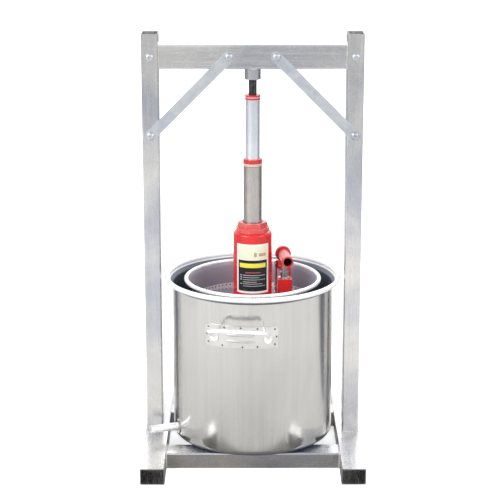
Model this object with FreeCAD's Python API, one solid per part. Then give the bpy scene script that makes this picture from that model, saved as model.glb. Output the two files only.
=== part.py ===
import FreeCAD, Part
import math
import os

# Fruit press: a welded and bolted tube frame holds a stock pot with a perforated basket.
# A telescopic bottle jack stands on the press plate in the basket and pushes up on the beam.
# Millimetres. +Z is up, -Y is the front, the origin is on the floor under the jack's axis.

# ---------------------------------------------------------------- driving dimensions
# Frame
tube_width = 50.0            # long side of the rectangular tube
tube_depth = 34.0            # short side of the rectangular tube
tube_wall = 2.0
tube_corner = 3.0
pot_bay_gap = 7.2              # pot rim to the inside of a post
foot_overhang = 4.0          # foot outside the post
foot_length = 460.0
post_top = 885.0
beam_drop = 22.0             # post top above the beam's top
rail_setback = 85.0          # foot end to the rail's outer face
slot_clearance = 0.2         # beam in the posts' slots, each side
beam_end_gap = 0.6           # beam end to the post's outer wall

# Braces and frame bolts
brace_width = 22.0
brace_thickness = 4.0
brace_run = 160.0            # bolt to bolt, across and down
bolt_diameter = 8.0
bolt_hole_clearance = 0.3    # radial
bolt_head_diameter = 16.0
bolt_head_height = 5.0
bolt_head_round = 3.5
bolt_socket = 5.0              # across its flats
bolt_socket_depth = 3.0
bolt_end = 4.0               # thread past the nut
nut_flats = 13.0
nut_height = 6.5
washer_diameter = 17.0
washer_thickness = 1.6

# Cup under the beam
cup_wall = 3.5
cup_bore_gap = 1.5             # radial, around the screw's head
cup_height = 22.0
cup_roof = 4.0

# Pot
pot_diameter = 336.0
pot_height = 339.0           # floor to the centre of the rolled rim
pot_wall = 1.0
pot_corner = 12.0
pot_flare = 7.0              # lip outside the wall, below the rim
pot_flare_drop = 10.0
pot_rim_diameter = 9.8
pot_turned = 8.5             # handles turned away from straight ahead, degrees
pot_rest_gap = 0.3           # pot above the rails

# Pot handles
handle_plate_width = 149.0
handle_plate_height = 46.0
handle_plate_thickness = 1.4
handle_plate_corner = 7.0
handle_level = 255.0         # ears above the pot's floor
handle_plate_rise = 3.0      # plate centre above the ears
handle_ear_spacing = 110.0
handle_grip_width = 118.0
handle_reach = 46.0
handle_rise = 29.0
handle_rod = 9.0
handle_bend = 13.0
handle_ear_diameter = 17.0
handle_ear_thickness = 3.0

# Spout
spout_angle = 70.0           # left of straight ahead, degrees
spout_level = 26.0           # axis above the pot's floor
spout_diameter = 16.6
spout_wall = 1.3
spout_reach = 60.0           # past the pot's wall
spout_inset = 3.0            # inside the pot's wall
spout_flange_diameter = 31.0
spout_flange_thickness = 2.0

# Basket
basket_gap = 36.0              # pot wall to the inside of the basket, for the juice
basket_wall = 1.0
basket_lift = 30.0           # basket floor above the pot floor
basket_rim_drop = 3.9        # basket rim below the pot rim
basket_flare = 3.5
basket_flare_drop = 8.0
basket_rim_diameter = 9.0
basket_foot_diameter = 12.0
basket_foot_inset = 21.0       # foot axis inside the basket's bore
basket_foot_count = 4

# Press plate and jack guides
plate_clearance = 2.5        # plate in the basket, radial
plate_thickness = 6.0
fruit_height = 238.7           # basket floor to the press plate, rams fully out
guide_thickness = 4.0
guide_height = 10.0
guide_width = 16.0
guide_angles = (110.0, 180.0, 250.0)
guide_clearance = 0.3

# Jack body
base_lip = 11.7                # base outside the reservoir
base_flange = 12.0
base_height = 22.0
reservoir_step = 5.5           # reservoir outside the nut's flange, radial
reservoir_wall = 2.5
reservoir_height = 162.0       # top above the underside of the base
reservoir_shoulder = 7.0
spigot_height = 5.0
spigot_clearance = 0.1
cylinder_gap = 1.7             # bore outside the lower ram, radial
cylinder_wall = 5.0
cylinder_seat = 4.0          # cylinder below the base's top
gasket_thickness = 1.5
nut_flange_lip = 3.8           # flange outside the hexagon's corners
nut_flange_height = 8.0
nut_hex_meat = 11.7            # corners outside the lower ram, radial
nut_hex_trim = 2.5             # taken off the corners at the top
nut_hex_height = 11.0
nut_skirt_depth = 5.0
wiper_width = 2.0
wiper_height = 3.0

# Rams and screw
running_clearance = 0.05     # radial, shafts and pistons
lower_ram_wall = 3.1
lower_ram_gap = 1.4            # bore outside the upper ram, radial
ram_show_difference = 5.5      # the upper ram shows this much more than the lower
lower_piston_height = 20.0
lower_ram_floor = 10.0
collar_lip = 0.3               # outside the lower ram
collar_height = 15.5
upper_ram_wall = 6.0           # around the screw's bore
stop_gap = 0.3                 # piston under its stop, rams fully out
upper_piston_height = 19.0
upper_ring_lip = 0.9           # outside the upper ram
upper_ring_groove = 1.0        # deep; twice as high
upper_ring_height = 9.5
seal_height = 4.0
seal_depth = 2.0
screw_diameter = 17.5
screw_show = 32.5              # between the ring and the cup
screw_length = 106.0         # below the head
screw_bore_depth = 112.0
screw_head_diameter = 23.0
screw_head_height = 12.0
screw_head_clearance = 0.3   # head under the cup's roof

# Pump
pump_beyond_base = 15.0        # pump axis outside the base
pump_turned = 7.0            # pump and lever turned about the jack, degrees
pump_block_wall = 3.75         # around the sleeve
pump_block_height = 56.0
pump_block_corner = 3.0
pump_floor = 21.0            # pump bore's floor above the base's underside
pump_sleeve_wall = 2.95
pump_sleeve_rim = 1.5          # lip outside the sleeve
pump_sleeve_lip = 2.0
plunger_diameter = 16.0
plunger_depth = 24.0           # plunger's end below the block's top
pin_diameter = 8.0
pin_level = 27.0             # lever pins above the pump block
plunger_neck = 14.0          # round part ends this far under the pin
plunger_eye_width = 10.0
plunger_eye_diameter = 13.0
fulcrum_behind_block = 5.25  # fulcrum pin's axis behind the pump block
cheek_inside = 11.0
cheek_outside = 24.4
cheek_front = 8.0            # in front of the plunger pin
cheek_back = 8.0             # behind the fulcrum pin
cheek_drop = 8.0             # below the pins
pin_slot_length = 3.6
pin_slot_clearance = 0.75    # radial, in the lever's slot
socket_diameter = 24.0
socket_bore = 17.4
socket_level = 21.0          # socket axis above the pins
socket_front = 50.0          # mouth in front of the plunger pin
socket_back = 4.0            # end wall behind the fulcrum pin
socket_end_wall = 4.0
socket_collar_diameter = 33.0
socket_collar_length = 9.0
link_width = 12.0
link_thickness = 3.5
link_gap = 0.3
link_foot_lean = 4.0         # lower link pin behind the fulcrum pin
link_foot_level = 15.0       # lower link pin above the base's underside
lug_half_length = 9.0
rivet_head_diameter = 12.0
rivet_head_height = 2.0
pump_seal_height = 4.0
pump_seal_width = 1.8

# Valves in the base
valve_chamber = 7.2
valve_ball = 6.4
valve_plug_height = 5.0
suction_along = 8.0          # past the pump axis, along the offset
suction_aside = 4.0          # behind the pump axis
delivery_offset = 12.0       # jack axis to the delivery valve
spring_wire = 0.7
spring_turns = 4
release_along = -7.0         # from the pump axis, along the offset
release_level = 9.0
release_stem_diameter = 8.0
release_stem_length = 12.0
release_knob_diameter = 15.0
release_knob_length = 14.0
release_slot = 3.0

# Filler plug and label
filler_drop = 18.0           # below the reservoir's top
filler_diameter = 8.0
filler_head_diameter = 11.0
filler_head = 2.0
label_thickness = 0.3
label_width_angle = 105.0
label_bottom = 36.0          # above the base's underside
label_height = 105.0

# ---------------------------------------------------------------- worked-out places
X = FreeCAD.Vector(1, 0, 0)
Y = FreeCAD.Vector(0, 1, 0)
Z = FreeCAD.Vector(0, 0, 1)
ORIGIN = FreeCAD.Vector(0, 0, 0)

pot_r = pot_diameter / 2
pot_floor = tube_depth + pot_rest_gap
pot_rim_r = pot_rim_diameter / 2
pot_rim_level = pot_floor + pot_height
pot_rim_outer = pot_r + pot_flare - pot_wall + pot_rim_diameter
basket_r = pot_r - pot_wall - basket_gap
basket_floor_level = pot_floor + pot_wall + basket_lift
basket_rim_r = basket_rim_diameter / 2
basket_rim_level = pot_rim_level - basket_rim_drop
basket_foot_circle_r = basket_r - basket_foot_inset

frame_half = pot_rim_outer + pot_bay_gap + tube_depth
foot_outer = frame_half + foot_overhang
foot_inner = foot_outer - tube_width
foot_center = (foot_outer + foot_inner) / 2
post_inner = frame_half - tube_depth
post_center = (frame_half + post_inner) / 2
post_front = -tube_width / 2
beam_top = post_top - beam_drop
beam_middle = beam_top - tube_width / 2
beam_bottom = beam_top - tube_width
beam_front = -tube_depth / 2
beam_half = frame_half - tube_wall - beam_end_gap
rail_center = foot_length / 2 - rail_setback - tube_width / 2

bolt_r = bolt_diameter / 2
bolt_hole_r = bolt_r + bolt_hole_clearance
brace_upper = FreeCAD.Vector(post_center - brace_run, 0, beam_middle)
brace_lower = FreeCAD.Vector(post_center, 0, beam_middle - brace_run)

cup_bottom = beam_bottom - cup_height
screw_head_top = beam_bottom - cup_roof - screw_head_clearance
screw_head_bottom = screw_head_top - screw_head_height
cup_bore_r = screw_head_diameter / 2 + cup_bore_gap
cup_r = cup_bore_r + cup_wall

# The jack's bores follow the screw outwards: screw, upper ram, lower ram, cylinder, nut, reservoir, base.
screw_bore_r = screw_diameter / 2 + running_clearance
upper_ram_r = screw_bore_r + upper_ram_wall
upper_ring_r = upper_ram_r + upper_ring_lip
lower_ram_bore_r = upper_ram_r + lower_ram_gap
lower_ram_r = lower_ram_bore_r + lower_ram_wall
collar_r = lower_ram_r + collar_lip
cylinder_bore_r = lower_ram_r + cylinder_gap
nut_bore_r = lower_ram_r + running_clearance
nut_hex_r = lower_ram_r + nut_hex_meat
nut_flange_r = nut_hex_r + nut_flange_lip
reservoir_r = nut_flange_r + reservoir_step
reservoir_bore_r = reservoir_r - reservoir_wall
reservoir_mouth_r = nut_flange_r - reservoir_wall
base_r = reservoir_r + base_lip

# The jack stands on the plate, and the rams fill what is left under the cup.
jack_level = basket_floor_level + basket_wall + fruit_height + plate_thickness
base_top = jack_level + base_height
reservoir_top = jack_level + reservoir_height
cylinder_bottom = base_top - cylinder_seat
nut_top = reservoir_top + nut_flange_height + nut_hex_height
nut_bottom = reservoir_top - nut_skirt_depth
ring_top = cup_bottom - screw_show
ring_bottom = ring_top - upper_ring_height
rams_show = ring_bottom - nut_top - collar_height
collar_bottom = nut_top + (rams_show - ram_show_difference) / 2
collar_top = collar_bottom + collar_height
lower_piston_r = cylinder_bore_r - running_clearance
lower_ram_bottom = nut_bottom - stop_gap - lower_piston_height
upper_piston_r = lower_ram_bore_r - running_clearance
upper_ram_bottom = collar_bottom - stop_gap - upper_piston_height

pump_offset = base_r + pump_beyond_base
pump_bore_r = plunger_diameter / 2 + running_clearance
pump_sleeve_r = pump_bore_r + pump_sleeve_wall
pump_block_half = pump_sleeve_r + pump_block_wall
lever_arm = pump_block_half + fulcrum_behind_block
link_foot_back = lever_arm + link_foot_lean
pump_top = jack_level + pump_block_height
pump_floor_level = jack_level + pump_floor
pins_level = pump_top + pin_level
socket_axis = pins_level + socket_level


# ---------------------------------------------------------------- helpers
def cylinder(radius, bottom, top):
    return Part.makeCylinder(radius, top - bottom, FreeCAD.Vector(0, 0, bottom))


def ring(outer, inner, bottom, top):
    return cylinder(outer, bottom, top).cut(cylinder(inner, bottom - 1, top + 1))


def block(low, high):
    size = [high[i] - low[i] for i in range(3)]
    return Part.makeBox(size[0], size[1], size[2], FreeCAD.Vector(*low))


def rod(radius, start, end):
    start = FreeCAD.Vector(*start)
    way = FreeCAD.Vector(*end) - start
    return Part.makeCylinder(radius, way.Length, start, way)


def turned(shape, degrees):
    """A copy turned about the jack's axis."""
    copy = shape.copy()
    copy.rotate(ORIGIN, Z, degrees)
    return copy


def mirrored(shape):
    """The same piece for the other side of the frame."""
    return shape.mirror(ORIGIN, X)


def revolved(points):
    """A solid turned from an outline of (radius, height) points."""
    outline = [FreeCAD.Vector(r, 0, z) for r, z in points]
    face = Part.Face(Part.makePolygon(outline + outline[:1]))
    return face.revolve(ORIGIN, Z, 360)


def rounded_rectangle(width, depth, corner):
    """A face in the XY plane, centred on the origin."""
    x, y, c = width / 2, depth / 2, corner
    s = c * (1 - math.sqrt(0.5))
    corners = ((x, y - c, x - s, y - s, x - c, y), (-x + c, y, -x + s, y - s, -x, y - c),
               (-x, -y + c, -x + s, -y + s, -x + c, -y), (x - c, -y, x - s, -y + s, x, -y + c))
    edges = []
    last = FreeCAD.Vector(corners[-1][4], corners[-1][5], 0)
    for ax, ay, mx, my, bx, by in corners:
        start = FreeCAD.Vector(ax, ay, 0)
        end = FreeCAD.Vector(bx, by, 0)
        edges.append(Part.makeLine(last, start))
        edges.append(Part.Arc(start, FreeCAD.Vector(mx, my, 0), end).toShape())
        last = end
    return Part.Face(Part.Wire(edges))


def tube(width, depth, length):
    """Rectangular tube along +Z from the origin, width on X, depth on Y."""
    outside = rounded_rectangle(width, depth, tube_corner)
    inside = rounded_rectangle(width - 2 * tube_wall, depth - 2 * tube_wall, tube_corner - tube_wall)
    return outside.cut(inside).extrude(Z * length)


def rounded_path(points, radius):
    """A wire through the points with an arc of the given radius at each inner one."""
    points = [FreeCAD.Vector(*p) for p in points]
    edges = []
    last = points[0]
    for before, corner, after in zip(points, points[1:], points[2:]):
        back = (before - corner).normalize()
        on = (after - corner).normalize()
        half = back.getAngle(on) / 2
        reach = radius / math.tan(half)
        start = corner + back * reach
        end = corner + on * reach
        middle = (back + on).normalize()
        middle = corner + middle * (radius / math.sin(half) - radius)
        edges.append(Part.makeLine(last, start))
        edges.append(Part.Arc(start, middle, end).toShape())
        last = end
    edges.append(Part.makeLine(last, points[-1]))
    return Part.Wire(edges)


def round_bar(points, bend, radius):
    path = rounded_path(points, bend)
    first = FreeCAD.Vector(*points[0])
    way = FreeCAD.Vector(*points[1]) - first
    section = Part.Wire(Part.makeCircle(radius, first, way))
    return path.makePipeShell([section], True, True)


def hexagon(corner_radius, bottom, height):
    """A hexagonal bar along +Z with corners on the X axis."""
    points = [FreeCAD.Vector(corner_radius * math.cos(math.radians(a)),
                             corner_radius * math.sin(math.radians(a)), bottom)
              for a in range(0, 420, 60)]
    return Part.Face(Part.makePolygon(points)).extrude(Z * height)


def laid_back(shape, x, y, z):
    """A piece made along +Z, laid along +Y with its origin at x, y, z."""
    copy = shape.copy()
    copy.rotate(ORIGIN, X, -90)
    copy.translate(FreeCAD.Vector(x, y, z))
    return copy


# ---------------------------------------------------------------- frame
def foot():
    piece = tube(tube_width, tube_depth, foot_length)
    piece = laid_back(piece, 0, 0, 0)
    piece.translate(FreeCAD.Vector(foot_center, -foot_length / 2, tube_depth / 2))
    return piece


def rail(side):
    """Cross rail between the feet; side is -1 in front and 1 behind."""
    piece = tube(tube_depth, tube_width, 2 * foot_inner)
    piece.rotate(ORIGIN, Y, 90)
    piece.translate(FreeCAD.Vector(-foot_inner, side * rail_center, tube_depth / 2))
    return piece


def post():
    piece = tube(tube_depth, tube_width, post_top - tube_depth)
    piece.translate(FreeCAD.Vector(post_center, 0, tube_depth))
    slot_y = tube_depth / 2 + slot_clearance
    slot_z = tube_width / 2 + slot_clearance
    slot = block((post_inner - 1, -slot_y, beam_middle - slot_z),
                 (post_inner + tube_wall + 1, slot_y, beam_middle + slot_z))
    piece = piece.cut(slot)
    for level in (beam_middle, brace_lower.z):
        piece = piece.cut(rod(bolt_hole_r, (post_center, -tube_width, level),
                              (post_center, tube_width, level)))
    return piece


def top_beam():
    piece = tube(tube_width, tube_depth, 2 * beam_half)
    piece.rotate(ORIGIN, Y, 90)
    piece.translate(FreeCAD.Vector(-beam_half, 0, beam_middle))
    for x in (post_center, brace_upper.x):
        for side in (-1, 1):
            piece = piece.cut(rod(bolt_hole_r, (side * x, -tube_width, beam_middle),
                                  (side * x, tube_width, beam_middle)))
    return piece


def ram_cup():
    """Cup welded under the beam that keeps the jack's screw from walking."""
    return revolved(((0, beam_bottom), (cup_r, beam_bottom), (cup_r, cup_bottom),
                     (cup_bore_r, cup_bottom), (cup_bore_r, beam_bottom - cup_roof),
                     (0, beam_bottom - cup_roof)))


def brace():
    """Flat bar from the post's front face to the beam's, which lies further back."""
    length = brace_run * math.sqrt(2)
    end = brace_width / 2
    leaves_post = (post_center - post_inner) * math.sqrt(2) + end
    meets_beam = length - (tube_width / 2) * math.sqrt(2) - end
    side = ((-end, post_front), (leaves_post, post_front), (meets_beam, beam_front),
            (length + end, beam_front), (length + end, beam_front - brace_thickness),
            (meets_beam, beam_front - brace_thickness), (leaves_post, post_front - brace_thickness),
            (-end, post_front - brace_thickness))
    outline = [FreeCAD.Vector(s, y, -end) for s, y in side]
    bar = Part.Face(Part.makePolygon(outline + outline[:1])).extrude(Z * brace_width)
    shape = block((0, -tube_width, -end), (length, tube_width, end))
    for s in (0, length):
        shape = shape.fuse(rod(end, (s, -tube_width, 0), (s, tube_width, 0)))
    bar = bar.common(shape)
    for s in (0, length):
        bar = bar.cut(rod(bolt_hole_r, (s, -tube_width, 0), (s, tube_width, 0)))
    bar.rotate(ORIGIN, Y, -135)
    bar.translate(brace_lower)
    return bar


def bolt(grip):
    """Button-head bolt along +Z; grip is the clamped length, washer included."""
    r = bolt_head_diameter / 2
    head = Part.makeCylinder(r, bolt_head_height, FreeCAD.Vector(0, 0, -bolt_head_height))
    crown = head.Edges[0] if head.Edges[0].CenterOfMass.z < -bolt_head_height / 2 else head.Edges[2]
    head = head.makeFillet(bolt_head_round, [crown])
    socket = hexagon(bolt_socket / math.sqrt(3), -bolt_head_height - 1, 1 + bolt_socket_depth)
    shank = Part.makeCylinder(bolt_r, grip + nut_height + bolt_end)
    return head.fuse(shank).cut(socket)


def nut():
    body = hexagon(nut_flats / math.sqrt(3), 0, nut_height)
    return body.cut(cylinder(bolt_r + running_clearance, -1, nut_height + 1))


def washer():
    return ring(washer_diameter / 2, bolt_hole_r, 0, washer_thickness)


def pair(shape):
    return Part.makeCompound([mirrored(shape), shape])


def frame_fasteners():
    """Three pairs of bolts and all the washers and nuts behind them."""
    back = tube_width / 2
    places = {
        "beam_bolts": (post_center, beam_middle, post_front, back),
        "brace_lower_bolts": (post_center, brace_lower.z, post_front - brace_thickness, back),
        "brace_upper_bolts": (brace_upper.x, beam_middle, beam_front - brace_thickness, -beam_front),
    }
    nodes = {}
    washers = []
    nuts = []
    for name, (x, z, head_at, back_at) in places.items():
        grip = back_at - head_at + washer_thickness
        nodes[name] = pair(laid_back(bolt(grip), x, head_at, z))
        washers += pair(laid_back(washer(), x, back_at, z)).Solids
        nuts += pair(laid_back(nut(), x, back_at + washer_thickness, z)).Solids
    nodes["bolt_washers"] = Part.makeCompound(washers)
    nodes["bolt_nuts"] = Part.makeCompound(nuts)
    return nodes


# ---------------------------------------------------------------- pot
def vessel(radius, wall, bottom, corner, flare, flare_drop, rim_level, rim_r):
    """Closed-bottom round vessel with a flared lip and a rolled rim; radius is outside."""
    rim_center = radius + flare + rim_r - wall
    lip = rim_level - rim_r / 2
    under = Part.makePolygon([FreeCAD.Vector(0, 0, bottom), FreeCAD.Vector(radius - corner, 0, bottom)])
    corner_middle = radius - corner + corner * math.sqrt(0.5)
    arc_out = Part.Arc(FreeCAD.Vector(radius - corner, 0, bottom),
                       FreeCAD.Vector(corner_middle, 0, bottom + corner - corner * math.sqrt(0.5)),
                       FreeCAD.Vector(radius, 0, bottom + corner)).toShape()
    inner = corner - wall
    arc_in = Part.Arc(FreeCAD.Vector(radius - wall, 0, bottom + corner),
                      FreeCAD.Vector(radius - corner + inner * math.sqrt(0.5), 0,
                                     bottom + corner - inner * math.sqrt(0.5)),
                      FreeCAD.Vector(radius - corner, 0, bottom + wall)).toShape()
    side = Part.makePolygon([FreeCAD.Vector(r, 0, z) for r, z in (
        (radius, bottom + corner), (radius, lip - flare_drop), (radius + flare, lip),
        (radius + flare - wall, lip), (radius - wall, lip - flare_drop),
        (radius - wall, bottom + corner))])
    close = Part.makePolygon([FreeCAD.Vector(radius - corner, 0, bottom + wall),
                              FreeCAD.Vector(0, 0, bottom + wall), FreeCAD.Vector(0, 0, bottom)])
    outline = Part.Wire(under.Edges + [arc_out] + side.Edges + [arc_in] + close.Edges)
    shell = Part.Face(outline).revolve(ORIGIN, Z, 360)
    rim = Part.makeTorus(rim_center, rim_r, FreeCAD.Vector(0, 0, rim_level))
    return shell.fuse(rim)


def spout_rod(radius, start, end):
    """A round bar along the spout's axis, between two distances from the pot's axis."""
    level = pot_floor + spout_level
    return turned(rod(radius, (0, -start, level), (0, -end, level)), -spout_angle)


def pot_shell():
    shell = vessel(pot_r, pot_wall, pot_floor, pot_corner, pot_flare, pot_flare_drop,
                   pot_rim_level, pot_rim_r)
    return shell.cut(spout_rod(spout_diameter / 2, pot_r - pot_corner, pot_r + pot_corner))


def spout_pipe():
    start = pot_r - spout_inset
    end = pot_r + spout_reach
    r = spout_diameter / 2
    return spout_rod(r, start, end).cut(spout_rod(r - spout_wall, start - 1, end + 1))


def spout_flange():
    level = pot_floor + spout_level
    sheet = ring(pot_r + spout_flange_thickness, pot_r, level - spout_flange_diameter,
                 level + spout_flange_diameter)
    disc = sheet.common(spout_rod(spout_flange_diameter / 2, pot_r / 2, pot_r + pot_corner))
    return disc.cut(spout_rod(spout_diameter / 2, pot_r / 2, pot_r + pot_corner))


def handle_plate(angle):
    level = pot_floor + handle_level + handle_plate_rise
    sheet = ring(pot_r + handle_plate_thickness, pot_r, level - handle_plate_height,
                 level + handle_plate_height)
    outline = rounded_rectangle(handle_plate_width, handle_plate_height, handle_plate_corner)
    window = outline.extrude(Z * pot_diameter)
    window.rotate(ORIGIN, X, 90)
    window.translate(FreeCAD.Vector(0, 0, level))
    return turned(sheet.common(window), angle)


def handle(angle):
    level = pot_floor + handle_level
    skin = pot_r + handle_plate_thickness
    ear = handle_ear_spacing / 2
    grip = handle_grip_width / 2
    root = math.sqrt(skin ** 2 - (ear + handle_ear_diameter / 2) ** 2) - handle_ear_thickness
    far = pot_r + handle_reach
    bar = round_bar(((-ear, -root, level), (-grip, -far, level + handle_rise),
                     (grip, -far, level + handle_rise), (ear, -root, level)),
                    handle_bend, handle_rod / 2)
    for x in (-ear, ear):
        face = math.sqrt(skin ** 2 - ear ** 2) + handle_ear_thickness
        bar = bar.fuse(rod(handle_ear_diameter / 2, (x, -root, level), (x, -face, level)))
    bar = bar.cut(cylinder(skin, level - handle_reach, level + 2 * handle_reach))
    return turned(bar, angle)


# ---------------------------------------------------------------- basket
def basket_wall_shell():
    """The basket's side with its flared lip and rolled rim, open below."""
    r = basket_r + basket_wall
    lip = basket_rim_level - basket_rim_r / 2
    side = revolved(((basket_r, basket_floor_level), (r, basket_floor_level),
                     (r, lip - basket_flare_drop), (r + basket_flare, lip),
                     (r + basket_flare - basket_wall, lip), (basket_r, lip - basket_flare_drop)))
    rim_center = r + basket_flare + basket_rim_r - basket_wall
    return side.fuse(Part.makeTorus(rim_center, basket_rim_r, FreeCAD.Vector(0, 0, basket_rim_level)))


def basket_floor():
    return cylinder(basket_r, basket_floor_level, basket_floor_level + basket_wall)


def basket_feet():
    feet = []
    for i in range(basket_foot_count):
        angle = math.radians(360 / basket_foot_count * (i + 0.5))
        x = basket_foot_circle_r * math.cos(angle)
        y = basket_foot_circle_r * math.sin(angle)
        feet.append(rod(basket_foot_diameter / 2, (x, y, pot_floor + pot_wall), (x, y, basket_floor_level)))
    return Part.makeCompound(feet)


# ---------------------------------------------------------------- press plate and jack body
def press_plate():
    return cylinder(basket_r - plate_clearance, jack_level - plate_thickness, jack_level)


def jack_guides():
    """Three lugs on the plate that keep the jack in the middle."""
    inner = base_r + guide_clearance
    lug = block((inner, -guide_width / 2, jack_level),
                (inner + guide_thickness, guide_width / 2, jack_level + guide_height))
    return Part.makeCompound([turned(lug, angle) for angle in guide_angles])


def at_pump(shape):
    """A piece made about the pump's axis, moved to the pump and turned with it."""
    copy = shape.copy()
    copy.translate(FreeCAD.Vector(pump_offset, 0, 0))
    return turned(copy, pump_turned)


def pump_body():
    half = pump_block_half
    body = rounded_rectangle(2 * half, 2 * half, pump_block_corner).extrude(Z * pump_block_height)
    body.translate(FreeCAD.Vector(0, 0, jack_level))
    web = block((base_r / 2 - pump_offset, -half, jack_level), (0, half, base_top))
    lug = block((-cheek_outside / 2, 0, jack_level),
                (cheek_outside / 2, link_foot_back + lug_half_length, base_top))
    return body.fuse([web, lug])


def jack_base():
    body = cylinder(base_r, jack_level, jack_level + base_flange)
    body = body.fuse([cylinder(reservoir_r, jack_level, base_top), at_pump(pump_body())])
    spigot = reservoir_bore_r - spigot_clearance
    body = body.fuse(cylinder(spigot, base_top, base_top + spigot_height))
    seat_r = cylinder_bore_r + cylinder_wall + spigot_clearance
    body = body.cut(cylinder(seat_r, cylinder_bottom, base_top + spigot_height + 1))
    bore = cylinder(pump_sleeve_r, pump_floor_level, pump_top + 1)
    chamber = cylinder(valve_chamber / 2, jack_level - 1, pump_floor_level + 1)
    chamber.translate(FreeCAD.Vector(suction_along, suction_aside, 0))
    front = -pump_block_half
    level = jack_level + release_level
    valve = rod(release_stem_diameter / 2 + running_clearance, (release_along, front - 1, level),
                (release_along, front + release_stem_length + 1, level))
    pin = rod(pin_diameter / 2, (-cheek_outside, link_foot_back, jack_level + link_foot_level),
              (cheek_outside, link_foot_back, jack_level + link_foot_level))
    for tool in (bore, chamber, valve, pin):
        body = body.cut(at_pump(tool))
    delivery = cylinder(valve_chamber / 2, jack_level - 1, cylinder_bottom + 1)
    delivery.translate(FreeCAD.Vector(delivery_offset, 0, 0))
    return body.cut(turned(delivery, pump_turned)).removeSplitter()


def reservoir_tube():
    r = reservoir_r
    s = reservoir_shoulder
    steps = 6
    outside = [(r - s + s * math.cos(math.radians(90 * i / steps)),
                reservoir_top - s + s * math.sin(math.radians(90 * i / steps))) for i in range(steps + 1)]
    inside = [(reservoir_mouth_r, reservoir_top), (reservoir_mouth_r, reservoir_top - reservoir_wall),
              (reservoir_bore_r, reservoir_top - reservoir_wall - s)]
    body = revolved([(reservoir_bore_r, base_top), (r, base_top)] + outside + inside)
    hole = rod(filler_diameter / 2, (0, 0, reservoir_top - filler_drop),
               (0, 2 * r, reservoir_top - filler_drop))
    return body.cut(hole)


def filler_plug():
    """Rubber plug in the back of the reservoir."""
    level = reservoir_top - filler_drop
    end = reservoir_r + filler_head
    stem = rod(filler_diameter / 2, (0, reservoir_bore_r - 1, level), (0, end, level))
    head = rod(filler_head_diameter / 2, (0, reservoir_bore_r, level), (0, end, level))
    return stem.fuse(head.cut(cylinder(reservoir_r, level - filler_drop, level + filler_drop)))


def pressure_cylinder():
    return ring(cylinder_bore_r + cylinder_wall, cylinder_bore_r, cylinder_bottom + gasket_thickness,
                nut_bottom)


def cylinder_gasket():
    return ring(cylinder_bore_r + cylinder_wall, cylinder_bore_r, cylinder_bottom,
                cylinder_bottom + gasket_thickness)


def top_nut():
    """Cap screwed into the reservoir that guides the lower ram and holds the cylinder down."""
    flange_top = reservoir_top + nut_flange_height
    flange = cylinder(nut_flange_r, reservoir_top, flange_top)
    skirt = cylinder(reservoir_mouth_r, nut_bottom, reservoir_top)
    hexagonal = hexagon(nut_hex_r, flange_top, nut_hex_height)
    corner_trim = Part.makeCone(nut_hex_r + nut_hex_height / 2, nut_hex_r - nut_hex_trim,
                                nut_hex_height, FreeCAD.Vector(0, 0, flange_top))
    body = flange.fuse([skirt, hexagonal.common(corner_trim)])
    body = body.cut(cylinder(nut_bore_r, nut_bottom - 1, nut_top + 1))
    return body.cut(cylinder(nut_bore_r + wiper_width, nut_top - wiper_height, nut_top + 1))


def nut_wiper():
    return ring(nut_bore_r + wiper_width, nut_bore_r, nut_top - wiper_height, nut_top)


def jack_label():
    """Thin sticker wrapped on the front of the reservoir."""
    bottom = jack_level + label_bottom
    face = Part.Face(Part.makePolygon([FreeCAD.Vector(r, 0, z) for r, z in (
        (reservoir_r, bottom), (reservoir_r + label_thickness, bottom),
        (reservoir_r + label_thickness, bottom + label_height), (reservoir_r, bottom + label_height),
        (reservoir_r, bottom))]))
    return turned(face.revolve(ORIGIN, Z, label_width_angle), -90 - label_width_angle / 2)


# ---------------------------------------------------------------- rams and screw
def ram(outer, bore, bottom, top, floor, piston_r, piston_height):
    """A ram with a piston at its foot, a groove for the seal and a bore down from the top."""
    body = cylinder(outer, bottom, top).fuse(cylinder(piston_r, bottom, bottom + piston_height))
    groove = bottom + (piston_height - seal_height) / 2
    body = body.cut(ring(piston_r + 1, piston_r - seal_depth, groove, groove + seal_height))
    return body.cut(cylinder(bore, floor, top + 1))


def ram_seal(bottom, piston_r, piston_height):
    groove = bottom + (piston_height - seal_height) / 2
    return ring(piston_r, piston_r - seal_depth, groove, groove + seal_height)


def lower_ram():
    return ram(lower_ram_r, lower_ram_bore_r, lower_ram_bottom, collar_bottom,
               lower_ram_bottom + lower_ram_floor, lower_piston_r, lower_piston_height)


def lower_ram_collar():
    return ring(collar_r, upper_ram_r + running_clearance, collar_bottom, collar_top)


def upper_ram():
    return ram(upper_ram_r, screw_bore_r, upper_ram_bottom, ring_bottom, ring_top - screw_bore_depth,
               upper_piston_r, upper_piston_height)


def upper_ram_ring():
    """Ring on top of the upper ram with a groove round its middle."""
    body = ring(upper_ring_r, screw_bore_r, ring_bottom, ring_top)
    middle = (ring_bottom + ring_top) / 2
    return body.cut(ring(upper_ring_r + 1, upper_ring_r - upper_ring_groove,
                         middle - upper_ring_groove, middle + upper_ring_groove))


def extension_screw():
    shank = cylinder(screw_diameter / 2, screw_head_bottom - screw_length, screw_head_bottom)
    return shank.fuse(cylinder(screw_head_diameter / 2, screw_head_bottom, screw_head_top))


# ---------------------------------------------------------------- pump and lever
def pump_sleeve():
    body = ring(pump_sleeve_r, pump_bore_r, pump_floor_level, pump_top)
    body = body.fuse(ring(pump_sleeve_r + pump_sleeve_rim, pump_bore_r, pump_top,
                          pump_top + pump_sleeve_lip))
    seat = cylinder(pump_bore_r + pump_seal_width, pump_top - pump_seal_height, pump_top)
    return at_pump(body.cut(seat))


def pump_seal():
    return at_pump(ring(pump_bore_r + pump_seal_width, pump_bore_r, pump_top - pump_seal_height,
                        pump_top))


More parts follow.
